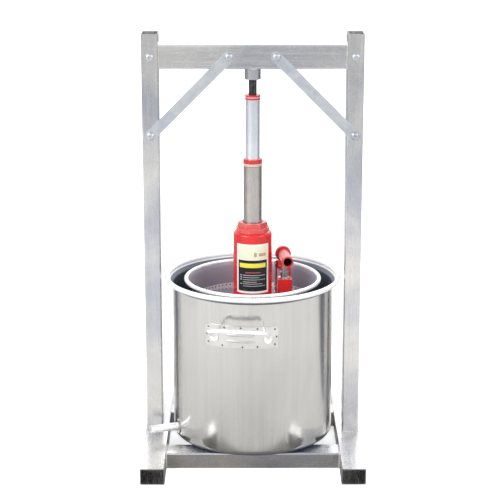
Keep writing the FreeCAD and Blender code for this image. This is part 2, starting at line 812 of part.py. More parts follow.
def pump_plunger():
    """Round plunger with a flat eye at its top for the lever's pin."""
    round_top = pins_level - plunger_neck
    body = cylinder(plunger_diameter / 2, pump_top - plunger_depth, round_top)
    w = plunger_eye_width / 2
    r = plunger_eye_diameter / 2
    eye = rod(r, (-w, 0, pins_level), (w, 0, pins_level))
    neck = block((-w, -r, round_top), (w, r, pins_level))
    pin = rod(pin_diameter / 2, (-2 * w, 0, pins_level), (2 * w, 0, pins_level))
    return at_pump(body.fuse([neck, eye]).cut(pin))


def plunger_pin():
    half = cheek_outside / 2
    return at_pump(rod(pin_diameter / 2, (-half, 0, pins_level), (half, 0, pins_level)))


def lever_cheeks():
    """Two plates under the socket that take the plunger pin and the fulcrum pin."""
    inside = cheek_inside / 2
    outside = cheek_outside / 2
    front = -cheek_front
    back = lever_arm + cheek_back
    bottom = pins_level - cheek_drop
    top = socket_axis - socket_bore / 2
    plates = block((-outside, front, bottom), (outside, back, top))
    return plates.cut(block((-inside, front - 1, bottom - 1), (inside, back + 1,
                                                              socket_axis - socket_diameter / 2)))


def lever_socket():
    """Tube for the pump bar with its two cheeks; the mouth faces the front."""
    front = -socket_front
    back = lever_arm + socket_back
    body = rod(socket_diameter / 2, (0, front, socket_axis), (0, back, socket_axis))
    body = body.fuse([lever_cheeks(), rod(socket_collar_diameter / 2,
                                          (0, back - socket_collar_length, socket_axis),
                                          (0, back, socket_axis))])
    body = body.cut(rod(socket_bore / 2, (0, front - 1, socket_axis),
                        (0, back - socket_end_wall, socket_axis)))
    slot_r = pin_diameter / 2 + pin_slot_clearance
    wide = cheek_outside
    slot = block((-wide, -pin_slot_length, pins_level - slot_r), (wide, 0, pins_level + slot_r))
    for y in (-pin_slot_length, 0):
        slot = slot.fuse(rod(slot_r, (-wide, y, pins_level), (wide, y, pins_level)))
    fulcrum = rod(pin_diameter / 2 + running_clearance, (-wide, lever_arm, pins_level),
                  (wide, lever_arm, pins_level))
    return at_pump(body.cut(slot).cut(fulcrum))


def lever_links():
    """The two bars that tie the lever's fulcrum to the lug on the base."""
    inside = cheek_outside / 2 + link_gap
    outside = inside + link_thickness
    low = (link_foot_back, jack_level + link_foot_level)
    high = (lever_arm, pins_level)
    length = math.hypot(high[0] - low[0], high[1] - low[1])
    half = link_width / 2
    bar = block((inside, -half, 0), (outside, half, length))
    for z in (0, length):
        bar = bar.fuse(rod(half, (inside, 0, z), (outside, 0, z)))
    for z in (0, length):
        bar = bar.cut(rod(pin_diameter / 2, (inside - 1, 0, z), (outside + 1, 0, z)))
    lean = math.degrees(math.atan2(low[0] - high[0], high[1] - low[1]))
    bar.rotate(ORIGIN, X, lean)
    bar.translate(FreeCAD.Vector(0, low[0], low[1]))
    return at_pump(pair(bar))


def link_pin(y, level):
    """Headed pin through both links."""
    inside = cheek_outside / 2 + link_gap + link_thickness
    pin = rod(pin_diameter / 2, (-inside, y, level), (inside, y, level))
    heads = [rod(rivet_head_diameter / 2, (side * inside, y, level),
                 (side * (inside + rivet_head_height), y, level)) for side in (-1, 1)]
    return at_pump(pin.fuse(heads))


# ---------------------------------------------------------------- valves
def in_chambers(shape_at):
    """The same piece in the suction chamber and in the delivery chamber."""
    suction = shape_at.copy()
    suction.translate(FreeCAD.Vector(suction_along, suction_aside, 0))
    delivery = shape_at.copy()
    delivery.translate(FreeCAD.Vector(delivery_offset, 0, 0))
    return Part.makeCompound([at_pump(suction), turned(delivery, pump_turned)])


def valve_plugs():
    return in_chambers(cylinder(valve_chamber / 2, jack_level, jack_level + valve_plug_height))


def valve_balls():
    r = valve_ball / 2
    return in_chambers(Part.makeSphere(r, FreeCAD.Vector(0, 0, jack_level + valve_plug_height + r)))


def delivery_spring():
    """Coil spring that holds the delivery ball down."""
    bottom = jack_level + valve_plug_height + valve_ball + spring_wire / 2
    r = valve_chamber / 2 - spring_wire
    height = cylinder_bottom - bottom
    helix = Part.makeHelix(height / spring_turns, height, r)
    section = Part.Wire(Part.makeCircle(spring_wire / 2, FreeCAD.Vector(r, 0, 0), Y))
    coil = Part.Wire(helix.Edges).makePipeShell([section], True, True)
    coil.translate(FreeCAD.Vector(delivery_offset, 0, bottom))
    return turned(coil, pump_turned)


def release_valve():
    """Screw that lets the oil back, with a slotted knob at the front of the pump block."""
    level = jack_level + release_level
    front = -pump_block_half
    stem = rod(release_stem_diameter / 2, (release_along, front - 1, level),
               (release_along, front + release_stem_length, level))
    knob_end = front - 1 - release_knob_length
    knob = rod(release_knob_diameter / 2, (release_along, knob_end, level),
               (release_along, front - 1, level))
    slot = block((release_along - release_slot / 2, knob_end - 1, level - release_knob_diameter),
                 (release_along + release_slot / 2, knob_end + release_knob_length / 2,
                  level + release_knob_diameter))
    return at_pump(stem.fuse(knob).cut(slot))


# ---------------------------------------------------------------- all nodes
nodes = {
    "left_foot": mirrored(foot()),
    "right_foot": foot(),
    "front_rail": rail(-1),
    "rear_rail": rail(1),
    "left_post": mirrored(post()),
    "right_post": post(),
    "top_beam": top_beam(),
    "ram_cup": ram_cup(),
    "left_brace": mirrored(brace()),
    "right_brace": brace(),
    "pot_shell": pot_shell(),
    "spout_pipe": spout_pipe(),
    "spout_flange": spout_flange(),
    "basket_wall": basket_wall_shell(),
    "basket_floor": basket_floor(),
    "basket_feet": basket_feet(),
    "press_plate": press_plate(),
    "jack_guides": jack_guides(),
    "jack_base": jack_base(),
    "reservoir_tube": reservoir_tube(),
    "filler_plug": filler_plug(),
    "pressure_cylinder": pressure_cylinder(),
    "cylinder_gasket": cylinder_gasket(),
    "top_nut": top_nut(),
    "nut_wiper": nut_wiper(),
    "jack_label": jack_label(),
    "lower_ram": lower_ram(),
    "lower_ram_seal": ram_seal(lower_ram_bottom, lower_piston_r, lower_piston_height),
    "lower_ram_collar": lower_ram_collar(),
    "upper_ram": upper_ram(),
    "upper_ram_seal": ram_seal(upper_ram_bottom, upper_piston_r, upper_piston_height),
    "upper_ram_ring": upper_ram_ring(),
    "extension_screw": extension_screw(),
    "pump_sleeve": pump_sleeve(),
    "pump_seal": pump_seal(),
    "pump_plunger": pump_plunger(),
    "plunger_pin": plunger_pin(),
    "lever_socket": lever_socket(),
    "lever_links": lever_links(),
    "fulcrum_pin": link_pin(lever_arm, pins_level),
    "link_foot_pin": link_pin(link_foot_back, jack_level + link_foot_level),
    "valve_plugs": valve_plugs(),
    "valve_balls": valve_balls(),
    "delivery_spring": delivery_spring(),
    "release_valve": release_valve(),
}
nodes.update(frame_fasteners())
for place, angle in (("front", -pot_turned), ("rear", 180 - pot_turned)):
    nodes[place + "_handle_plate"] = handle_plate(angle)
    nodes[place + "_handle"] = handle(angle)

os.makedirs("parts", exist_ok=True)
for name, shape in nodes.items():
    shape.exportStep("parts/" + name + ".step")
    box = shape.BoundBox
    print("%-20s %d solids, valid %s, %7.1f cm3, X %.1f..%.1f Y %.1f..%.1f Z %.1f..%.1f" % (
        name, len(shape.Solids), shape.isValid(), shape.Volume / 1000,
        box.XMin, box.XMax, box.YMin, box.YMax, box.ZMin, box.ZMax))
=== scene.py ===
# %% [markdown]
# # A hydraulic apple cider press
# Crushed apples go into the perforated basket, which stands in a steel pot. A round plate lies on
# the fruit, and a small red bottle jack stands on the plate and pushes up against the beam of a
# welded tube frame. Juice runs down between the basket and the pot and leaves by the spout.
# The exact parts, with their sizes and joints, come in first. This file gives them their looks.

import math

import bmesh
import bpy
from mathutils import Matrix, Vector


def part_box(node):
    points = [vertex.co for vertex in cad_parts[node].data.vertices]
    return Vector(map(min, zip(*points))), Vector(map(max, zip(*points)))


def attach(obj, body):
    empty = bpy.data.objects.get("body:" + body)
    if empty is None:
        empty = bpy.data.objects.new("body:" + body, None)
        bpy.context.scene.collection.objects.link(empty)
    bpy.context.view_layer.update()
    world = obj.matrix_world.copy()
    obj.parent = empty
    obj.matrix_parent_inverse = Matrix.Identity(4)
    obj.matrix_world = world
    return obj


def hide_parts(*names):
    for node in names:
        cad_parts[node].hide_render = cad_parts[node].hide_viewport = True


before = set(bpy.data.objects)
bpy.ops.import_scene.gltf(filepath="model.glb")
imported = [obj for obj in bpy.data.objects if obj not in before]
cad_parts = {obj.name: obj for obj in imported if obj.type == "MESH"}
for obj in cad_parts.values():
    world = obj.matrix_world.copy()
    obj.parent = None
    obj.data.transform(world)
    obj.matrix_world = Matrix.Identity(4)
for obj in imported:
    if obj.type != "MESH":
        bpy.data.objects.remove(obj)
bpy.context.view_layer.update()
MM = 0.001

# %% [markdown]
# ## The camera
# The press is seen from a little above and straight ahead with a long lens, so the posts stay
# nearly parallel. A camera is placed by its height, its distance and how far it looks down.

# %% Place the camera
LOOK_DOWN = 15.087
LOOK_RIGHT = 0.167
view_lens = bpy.data.cameras.new("view_lens")
view_lens.lens = 121.47
view_lens.sensor_width = 36.0
view_lens.clip_end = 100.0
view_camera = bpy.data.objects.new("view_camera", view_lens)
view_camera.location = (-0.0154, -3.4011, 1.3576)
view_camera.rotation_euler = (math.radians(90 - LOOK_DOWN), 0, math.radians(-LOOK_RIGHT))
bpy.context.scene.collection.objects.link(view_camera)
bpy.context.scene.camera = view_camera
bpy.context.scene.view_settings.view_transform = "Standard"
print("camera looks down", LOOK_DOWN, "degrees")

# %% [markdown]
# ## Helpers for node trees
# Every finish below is a small graph of nodes. Writing each node on one line keeps the graph easy
# to read, so these two helpers make a node, fill its inputs and connect it.


# %% Node helpers
def add_node(tree, kind, inputs=None, **settings):
    """Make a node; an input given as a socket is linked, and any other value is set."""
    node = tree.nodes.new(kind)
    for name, value in settings.items():
        setattr(node, name, value)
    for name, value in (inputs or {}).items():
        if isinstance(value, bpy.types.NodeSocket):
            tree.links.new(value, node.inputs[name])
        else:
            node.inputs[name].default_value = value
    return node


def new_group(name, sockets_in, sockets_out):
    """Make a shader node group with named inputs and outputs."""
    group = bpy.data.node_groups.new(name, "ShaderNodeTree")
    for label, kind, value in sockets_in:
        socket = group.interface.new_socket(label, in_out="INPUT", socket_type=kind)
        if value is not None:
            socket.default_value = value
    for label, kind in sockets_out:
        group.interface.new_socket(label, in_out="OUTPUT", socket_type=kind)
    return group, group.nodes.new("NodeGroupInput"), group.nodes.new("NodeGroupOutput")


def ramp(tree, value, low, high, to_low=0.0, to_high=1.0):
    """Stretch a value from one range to another, smoothly."""
    return add_node(tree, "ShaderNodeMapRange", {
        "Value": value, "From Min": low, "From Max": high, "To Min": to_low, "To Max": to_high,
    }, interpolation_type="SMOOTHSTEP").outputs["Result"]


def blend(tree, amount, first, second):
    """Mix two colours."""
    node = add_node(tree, "ShaderNodeMix", data_type="RGBA")
    for socket, value in ((node.inputs[0], amount), (node.inputs[6], first), (node.inputs[7], second)):
        if isinstance(value, bpy.types.NodeSocket):
            tree.links.new(value, socket)
        else:
            socket.default_value = value
    return node.outputs[2]


def combine(tree, operation, first, second):
    """Work on two numbers."""
    node = add_node(tree, "ShaderNodeMath", operation=operation)
    for socket, value in zip(node.inputs, (first, second)):
        if isinstance(value, bpy.types.NodeSocket):
            tree.links.new(value, socket)
        else:
            socket.default_value = value
    return node.outputs[0]


def between(tree, value, low, high, soft):
    """One inside a range, nothing outside it, with soft ends."""
    return combine(tree, "MULTIPLY", ramp(tree, value, low - soft, low + soft),
                   ramp(tree, value, high + soft, high - soft))


print("node helpers ready")

# %% [markdown]
# ## Floor and light
# A bare studio: a pale floor that runs far back, a soft white sky all round and three large
# softboxes. Polished steel shows only what stands around it, so the sky has a darker band at each
# side. The floor that mirrors see has two dark strips that run back at the sides, which draw the
# edges of the round parts, and a shade in front of the low cross rail. Close round the press that
# floor is painted darker, a painted shade under the press.


# %% Build the floor
FLOOR_HALF = 40.0
NEAR_SHADE_TONE, MIDDLE_TONE, FAR_TONE = (0.66, 0.65, 0.625, 1), (0.76, 0.75, 0.72, 1), (0.47, 0.47, 0.47, 1)
STRIP_TONE, RAIL_SHADE_TONE = (0.12, 0.125, 0.14, 1), (0.24, 0.225, 0.205, 1)
DARK_STRIPS = ((-58, -37), (33, 76))  # degrees from straight back, clockwise from above
STRIP_SOFT = math.radians(4)
floor_mesh = bpy.data.meshes.new("studio_floor")
floor_corners = [(-FLOOR_HALF, -FLOOR_HALF, 0), (FLOOR_HALF, -FLOOR_HALF, 0),
                 (FLOOR_HALF, FLOOR_HALF, 0), (-FLOOR_HALF, FLOOR_HALF, 0)]
floor_mesh.from_pydata(floor_corners, [], [(0, 1, 2, 3)])
studio_floor = bpy.data.objects.new("studio_floor", floor_mesh)
bpy.context.scene.collection.objects.link(studio_floor)
floor_paint = bpy.data.materials.new("floor_paint")
floor_paint.use_nodes = True
floor_tree = floor_paint.node_tree
floor_shader = floor_tree.nodes["Principled BSDF"]
floor_noise = add_node(floor_tree, "ShaderNodeTexNoise", {"Scale": 3.0, "Detail": 4.0}).outputs["Fac"]
seen_directly = add_node(floor_tree, "ShaderNodeLightPath").outputs["Is Camera Ray"]
floor_white = blend(floor_tree, floor_noise, (0.93, 0.93, 0.93, 1), (0.97, 0.97, 0.97, 1))
floor_place = add_node(floor_tree, "ShaderNodeTexCoord").outputs["Object"]
floor_reach = add_node(floor_tree, "ShaderNodeVectorMath", {0: floor_place}, operation="LENGTH")
floor_distance = floor_reach.outputs["Value"]
# Mirrors see the floor darker close round the press: painted shade under it.
floor_near_shade = blend(floor_tree, ramp(floor_tree, floor_distance, 0.5, 1.2), NEAR_SHADE_TONE, MIDDLE_TONE)
floor_mirrored = blend(floor_tree, ramp(floor_tree, floor_distance, 2.0, 3.2), floor_near_shade, FAR_TONE)
floor_parts = add_node(floor_tree, "ShaderNodeSeparateXYZ", {"Vector": floor_place})
floor_x, floor_y = floor_parts.outputs["X"], floor_parts.outputs["Y"]
floor_turn = combine(floor_tree, "ARCTAN2", floor_x, floor_y)
strip_start = ramp(floor_tree, floor_distance, 0.38, 0.48)
for strip_from, strip_to in DARK_STRIPS:
    strip = between(floor_tree, floor_turn, math.radians(strip_from), math.radians(strip_to), STRIP_SOFT)
    strip = combine(floor_tree, "MULTIPLY", strip, strip_start)
    floor_mirrored = blend(floor_tree, strip, floor_mirrored, STRIP_TONE)
floor_aside = combine(floor_tree, "ABSOLUTE", floor_x, 0.0)
rail_shade = combine(floor_tree, "MULTIPLY", between(floor_tree, floor_aside, -0.01, 0.19, 0.01),
                     between(floor_tree, floor_y, -0.28, -0.14, 0.02))
floor_mirrored = blend(floor_tree, rail_shade, floor_mirrored, RAIL_SHADE_TONE)
floor_colour = blend(floor_tree, seen_directly, floor_mirrored, floor_white)
floor_glow = blend(floor_tree, seen_directly, (0, 0, 0, 1), (0.55, 0.55, 0.55, 1))
floor_tree.links.new(floor_colour, floor_shader.inputs["Base Color"])
floor_tree.links.new(floor_glow, floor_shader.inputs["Emission Color"])
floor_shader.inputs["Emission Strength"].default_value = 1.0
floor_shader.inputs["Roughness"].default_value = 0.8
floor_mesh.materials.append(floor_paint)
print("floor", 2 * FLOOR_HALF, "m wide, dark strips:", len(DARK_STRIPS))

# %% Light the studio
studio_sky = bpy.data.worlds.new("studio_sky")
bpy.context.scene.world = studio_sky
studio_sky.use_nodes = True
sky_tree = studio_sky.node_tree
sky_direction = add_node(sky_tree, "ShaderNodeTexCoord").outputs["Generated"]
sky_parts = add_node(sky_tree, "ShaderNodeSeparateXYZ", {"Vector": sky_direction})
side_band = ramp(sky_tree, combine(sky_tree, "ABSOLUTE", sky_parts.outputs["X"], 0.0), 0.80, 0.97)
low_sky = ramp(sky_tree, sky_parts.outputs["Z"], 0.55, 0.15)
sky_colour = blend(sky_tree, combine(sky_tree, "MULTIPLY", side_band, low_sky),
                   (1.0, 1.0, 1.0, 1), (0.32, 0.34, 0.38, 1))
zenith = ramp(sky_tree, sky_parts.outputs["Z"], 0.36, 0.85)
sky_colour = blend(sky_tree, zenith, sky_colour, (0.36, 0.38, 0.43, 1))
sky_seen = add_node(sky_tree, "ShaderNodeLightPath").outputs["Is Camera Ray"]
sky_colour = blend(sky_tree, sky_seen, sky_colour, (1.0, 1.0, 1.0, 1))
sky_light = sky_tree.nodes["Background"]
sky_tree.links.new(sky_colour, sky_light.inputs["Color"])
sky_light.inputs["Strength"].default_value = 1.35


def softbox(name, place, aim, size, watts):
    """A square area light that faces a point."""
    lamp = bpy.data.lights.new(name, "AREA")
    lamp.size = size
    lamp.energy = watts
    holder = bpy.data.objects.new(name, lamp)
    holder.location = place
    holder.rotation_euler = (Vector(aim) - Vector(place)).to_track_quat("-Z", "Y").to_euler()
    bpy.context.scene.collection.objects.link(holder)


softbox("left_softbox", (-2.6, -2.4, 2.8), (0, 0, 0.4), 2.4, 120)
softbox("right_softbox", (2.8, -1.8, 2.4), (0, 0, 0.4), 2.0, 42)
softbox("rear_softbox", (0.6, 3.0, 3.2), (0, 0, 0.3), 2.6, 90)

# %% [markdown]
# ## Effects that several finishes share
# Brushed steel, zinc plate, chrome and paint all age in the same few ways. Each way is one node
# group: *fine grain* draws streaks along a direction, *handling marks* gives soft smudges, *worn
# edges* finds the corners, *settled dust* covers what faces up, and *inside bore* finds the inner
# skin of a tube or vessel, which is rougher than its outside and is painted darker, a painted shade.


# %% Fine grain
def build_fine_grain():
    group, given, result = new_group("fine_grain", [
        ("Place", "NodeSocketVector", None), ("Stretch", "NodeSocketVector", (1, 1, 1)),
        ("Scale", "NodeSocketFloat", 60.0),
    ], [("Streaks", "NodeSocketFloat"), ("Height", "NodeSocketFloat")])
    drawn_out = add_node(group, "ShaderNodeVectorMath", {
        0: given.outputs["Place"], 1: given.outputs["Stretch"]}, operation="MULTIPLY").outputs[0]
    coarse = add_node(group, "ShaderNodeTexNoise", {
        "Vector": drawn_out, "Scale": given.outputs["Scale"], "Detail": 5.0, "Roughness": 0.65})
    fine_scale = combine(group, "MULTIPLY", given.outputs["Scale"], 9.0)
    fine = add_node(group, "ShaderNodeTexNoise", {
        "Vector": drawn_out, "Scale": fine_scale, "Detail": 3.0, "Roughness": 0.6})
    both = combine(group, "ADD", combine(group, "MULTIPLY", coarse.outputs["Fac"], 0.55),
                   combine(group, "MULTIPLY", fine.outputs["Fac"], 0.45))
    group.links.new(ramp(group, both, 0.36, 0.64), result.inputs["Streaks"])
    group.links.new(fine.outputs["Fac"], result.inputs["Height"])
    return group


fine_grain = build_fine_grain()
print("grain:", fine_grain.name)


# %% Handling marks
def build_handling_marks():
    group, given, result = new_group("handling_marks", [
        ("Place", "NodeSocketVector", None), ("Scale", "NodeSocketFloat", 8.0),
    ], [("Smudges", "NodeSocketFloat"), ("Scratches", "NodeSocketFloat")])
    cloud = add_node(group, "ShaderNodeTexNoise", {
        "Vector": given.outputs["Place"], "Scale": given.outputs["Scale"], "Detail": 6.0,
        "Roughness": 0.55, "Distortion": 0.6})
    bent = add_node(group, "ShaderNodeTexNoise", {
        "Vector": given.outputs["Place"],
        "Scale": combine(group, "MULTIPLY", given.outputs["Scale"], 2.0)})
    shifted = add_node(group, "ShaderNodeVectorMath", {0: given.outputs["Place"], 1: bent.outputs["Color"]},
                       operation="ADD").outputs[0]
    lines = add_node(group, "ShaderNodeTexVoronoi", {
        "Vector": shifted, "Scale": combine(group, "MULTIPLY", given.outputs["Scale"], 5.0)},
        feature="DISTANCE_TO_EDGE")
    group.links.new(ramp(group, cloud.outputs["Fac"], 0.38, 0.68), result.inputs["Smudges"])
    group.links.new(ramp(group, lines.outputs["Distance"], 0.012, 0.0), result.inputs["Scratches"])
    return group


handling_marks = build_handling_marks()
print("marks:", handling_marks.name)


# %% Worn edges
def build_worn_edges():
    group, given, result = new_group("worn_edges", [
        ("Place", "NodeSocketVector", None), ("Width", "NodeSocketFloat", 0.001),
        ("Amount", "NodeSocketFloat", 0.5),
    ], [("Edges", "NodeSocketFloat")])
    rounded = add_node(group, "ShaderNodeBevel", {"Radius": given.outputs["Width"]}, samples=4)
    true_normal = add_node(group, "ShaderNodeNewGeometry").outputs["Normal"]
    same_way = add_node(group, "ShaderNodeVectorMath", {0: rounded.outputs[0], 1: true_normal},
                        operation="DOT_PRODUCT").outputs["Value"]
    patchy = add_node(group, "ShaderNodeTexNoise", {
        "Vector": given.outputs["Place"], "Scale": 90.0, "Detail": 4.0})
    near_edge = ramp(group, same_way, 0.995, 0.90)
    broken = combine(group, "MULTIPLY", near_edge, ramp(group, patchy.outputs["Fac"], 0.35, 0.60))
    group.links.new(combine(group, "MULTIPLY", broken, given.outputs["Amount"]), result.inputs["Edges"])
    return group


worn_edges = build_worn_edges()
print("edges:", worn_edges.name)


# %% Settled dust
def build_settled_dust():
    group, given, result = new_group("settled_dust", [
        ("Place", "NodeSocketVector", None), ("Amount", "NodeSocketFloat", 0.3),
    ], [("Dust", "NodeSocketFloat")])
    facing = add_node(group, "ShaderNodeSeparateXYZ", {
        "Vector": add_node(group, "ShaderNodeNewGeometry").outputs["Normal"]}).outputs["Z"]
    specks = add_node(group, "ShaderNodeTexNoise", {
        "Vector": given.outputs["Place"], "Scale": 260.0, "Detail": 5.0})
    clumps = ramp(group, specks.outputs["Fac"], 0.45, 0.75)
    covered = combine(group, "MULTIPLY", ramp(group, facing, 0.4, 0.95), clumps)
    group.links.new(combine(group, "MULTIPLY", covered, given.outputs["Amount"]), result.inputs["Dust"])
    return group


settled_dust = build_settled_dust()
print("dust:", settled_dust.name)


# %% Inside of a bore
def build_inside_bore():
    group, given, result = new_group("inside_bore", [
        ("Place", "NodeSocketVector", None), ("Point", "NodeSocketVector", (0, 0, 0)),
        ("Axis", "NodeSocketVector", (0, 0, 1)), ("Radius", "NodeSocketFloat", 0.01),
    ], [("Inside", "NodeSocketFloat")])
    away = add_node(group, "ShaderNodeVectorMath", {0: given.outputs["Place"], 1: given.outputs["Point"]},
                    operation="SUBTRACT").outputs[0]
    across = add_node(group, "ShaderNodeVectorMath", {0: away, 1: given.outputs["Axis"]},
                      operation="CROSS_PRODUCT").outputs[0]
    distance = add_node(group, "ShaderNodeVectorMath", {0: across}, operation="LENGTH").outputs["Value"]
    depth = combine(group, "SUBTRACT", given.outputs["Radius"], distance)
    group.links.new(ramp(group, depth, -0.0001, 0.0001), result.inputs["Inside"])
    return group


inside_bore = build_inside_bore()
print("bore:", inside_bore.name)


# %% [markdown]
# ## The finishes
# A finish is the Principled shader plus these effects. Bare metal is fully metallic, so its colour
# is the colour of its reflections, and its grain shows as streaks in roughness. Paint is not
# metallic and has a clear coat.


# %% Bare and plated metal
RIM_METALLIC = 0.35
FLARE_SLOPE = 0.75
EDGE_WIDTH = 0.0008
STEEL_DUST, RIM_HIGHLIGHT_WHITE, SAWN_GREY = (0.55, 0.53, 0.50, 1), (0.88, 0.885, 0.885, 1), (0.26, 0.26, 0.27, 1)


def use_group(tree, group, inputs):
    return add_node(tree, "ShaderNodeGroup", inputs, node_tree=group)


def object_place(tree):
    return add_node(tree, "ShaderNodeTexCoord").outputs["Object"]


def metal_finish(name, light, dark, roughness, stretch=(1, 1, 1), grain_scale=60.0, grain_depth=0.02,
                 grain_share=0.3, patch_scale=7.0, edge_colour=(0.93, 0.93, 0.92, 1), edge_amount=0.3,
                 dust=0.15, metallic=1.0, bore=None, rim_level=None, sawn=None):
    """Metal whose colour and roughness drift in patches and along its grain.

    bore is the radius and colour of the inside, and the level where it flares; that colour is a
    painted shade, darker than the outside, and the inside is also rougher. What lies above rim_level
    is painted near-white, a painted highlight on the rim, which only a piece with a bore has. sawn
    is the axis and place of a tube's dull cut ends.
    """
    material = bpy.data.materials.new(name)
    material.use_nodes = True
    tree = material.node_tree
    shader = tree.nodes["Principled BSDF"]
    place = object_place(tree)
    grain = use_group(tree, fine_grain, {"Place": place, "Stretch": stretch, "Scale": grain_scale})
    marks = use_group(tree, handling_marks, {"Place": place, "Scale": patch_scale})
    edges = use_group(tree, worn_edges, {"Place": place, "Width": EDGE_WIDTH, "Amount": edge_amount})
    dusty = use_group(tree, settled_dust, {"Place": place, "Amount": dust})
    amount = combine(tree, "ADD", combine(tree, "MULTIPLY", grain.outputs["Streaks"], grain_share),
                     combine(tree, "MULTIPLY", marks.outputs["Smudges"], 1.0 - grain_share))
    colour = blend(tree, amount, light, dark)
    colour = blend(tree, edges.outputs["Edges"], colour, edge_colour)
    colour = blend(tree, dusty.outputs["Dust"], colour, STEEL_DUST)
    rough = ramp(tree, grain.outputs["Streaks"], 0.0, 1.0, roughness[0], roughness[1])
    shader.inputs["Metallic"].default_value = metallic
    level = add_node(tree, "ShaderNodeSeparateXYZ", {"Vector": place}).outputs["Z"]
    if bore:
        radius, bore_shade_colour, flare_level = bore
        flare = combine(tree, "MAXIMUM", combine(tree, "SUBTRACT", level, flare_level), 0.0)
        radius = combine(tree, "ADD", combine(tree, "MULTIPLY", flare, FLARE_SLOPE), radius)
        hollow = use_group(tree, inside_bore, {"Place": place, "Radius": radius}).outputs["Inside"]
        # The inside is painted darker: painted shade.
        colour = blend(tree, hollow, colour, bore_shade_colour)
        rough = combine(tree, "ADD", rough, combine(tree, "MULTIPLY", hollow, 0.22))
        soft_parts = hollow
    if rim_level:
        # Above the rim level the pot is painted near-white: a painted highlight on its rolled rim.
        rim_highlight = ramp(tree, level, rim_level - 0.0005, rim_level + 0.0005)
        colour = blend(tree, rim_highlight, colour, RIM_HIGHLIGHT_WHITE)
        rough = combine(tree, "ADD", rough, combine(tree, "MULTIPLY", rim_highlight, 0.15))
        soft_parts = combine(tree, "MAXIMUM", soft_parts, rim_highlight)
    if bore:
        tree.links.new(ramp(tree, soft_parts, 0.0, 1.0, metallic, RIM_METALLIC), shader.inputs["Metallic"])
    if sawn:
        along = add_node(tree, "ShaderNodeSeparateXYZ", {"Vector": place}).outputs[sawn[0]]
        cut_end = ramp(tree, combine(tree, "ABSOLUTE", along, 0.0), sawn[1] - 0.0004, sawn[1] - 0.0001)
        colour = blend(tree, cut_end, colour, SAWN_GREY)
        rough = combine(tree, "ADD", rough, combine(tree, "MULTIPLY", cut_end, 0.25))
    tree.links.new(colour, shader.inputs["Base Color"])
    rough = combine(tree, "ADD", rough, combine(tree, "MULTIPLY", marks.outputs["Smudges"],
                                               0.35 * (roughness[1] - roughness[0])))
    rough = combine(tree, "ADD", rough, combine(tree, "MULTIPLY", marks.outputs["Scratches"], 0.12))
    rough = combine(tree, "ADD", rough, combine(tree, "MULTIPLY", dusty.outputs["Dust"], 0.5))
    tree.links.new(rough, shader.inputs["Roughness"])
    bump = add_node(tree, "ShaderNodeBump", {"Height": grain.outputs["Height"], "Strength": 0.5,
                                            "Distance": grain_depth * MM})
    tree.links.new(bump.outputs["Normal"], shader.inputs["Normal"])
    return material


# FRAME_DARK_REFLECTION is a bluish grey: besides the steel's own drift in tone, its patches are a painted
# reflection of darker surroundings on the beam and posts.
FRAME_LIGHT, FRAME_DARK_REFLECTION = (0.77, 0.755, 0.73, 1), (0.46, 0.475, 0.53, 1)
FRAME_GRAIN = {"grain_share": 0.14, "grain_depth": 0.008, "patch_scale": 4.5}
ALONG_X, ALONG_Y, ALONG_Z = (0.03, 1, 1), (1, 0.03, 1), (1, 1, 0.03)
POT_INNER, BASKET_INNER = 0.1672, 0.1312
POT_RIM, BASKET_RIM = 0.0098, 0.0090
POT_BORE_FLARE, BASKET_BORE_FLARE = 0.0085, 0.006
# INSIDE_SHADE_BLUE and INSIDE_SHADE_GREY are painted shade for the insides of the pot and the basket.
INSIDE_SHADE_BLUE, INSIDE_SHADE_GREY = (0.15, 0.17, 0.21, 1), (0.34, 0.355, 0.41, 1)
pot_rim_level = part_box("pot_shell")[1].z - POT_RIM
basket_rim_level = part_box("basket_wall")[1].z - BASKET_RIM
frame_along_x = metal_finish("frame_steel_across", FRAME_LIGHT, FRAME_DARK_REFLECTION, (0.20, 0.28), ALONG_X,
                             **FRAME_GRAIN)
frame_along_y = metal_finish("frame_steel_lengthways", FRAME_LIGHT, FRAME_DARK_REFLECTION, (0.20, 0.28), ALONG_Y,
                             sawn=("Y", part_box("left_foot")[1].y), **FRAME_GRAIN)
frame_along_z = metal_finish("frame_steel_upright", FRAME_LIGHT, FRAME_DARK_REFLECTION, (0.20, 0.28), ALONG_Z,
                             sawn=("Z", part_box("left_post")[1].z), **FRAME_GRAIN)
zinc_plate = metal_finish("zinc_plate", (0.60, 0.62, 0.64, 1), (0.44, 0.47, 0.52, 1), (0.30, 0.46),
                          grain_scale=120.0, patch_scale=40.0, grain_depth=0.03)
pot_steel = metal_finish("polished_pot_steel", (0.60, 0.592, 0.575, 1), (0.50, 0.495, 0.485, 1),
                         (0.12, 0.20), (1, 1, 0.015), grain_scale=70.0, grain_depth=0.008, grain_share=0.5,
                         patch_scale=5.0, dust=0.05,
                         bore=(POT_INNER, INSIDE_SHADE_BLUE, pot_rim_level - POT_BORE_FLARE),
                         rim_level=pot_rim_level)
plate_steel = metal_finish("handle_plate_steel", (0.70, 0.69, 0.67, 1), (0.58, 0.575, 0.565, 1), (0.14, 0.22),
                           ALONG_X, grain_scale=90.0, patch_scale=20.0, dust=0.05,
                           edge_colour=(0.30, 0.30, 0.29, 1), edge_amount=0.9)
basket_steel = metal_finish("basket_steel", (0.74, 0.75, 0.77, 1), (0.60, 0.61, 0.64, 1), (0.16, 0.26),
                            (1, 1, 0.2), grain_scale=80.0, grain_depth=0.005, grain_share=0.2,
                            patch_scale=8.0, dust=0.1,
                            bore=(BASKET_INNER, INSIDE_SHADE_GREY, basket_rim_level - BASKET_BORE_FLARE))
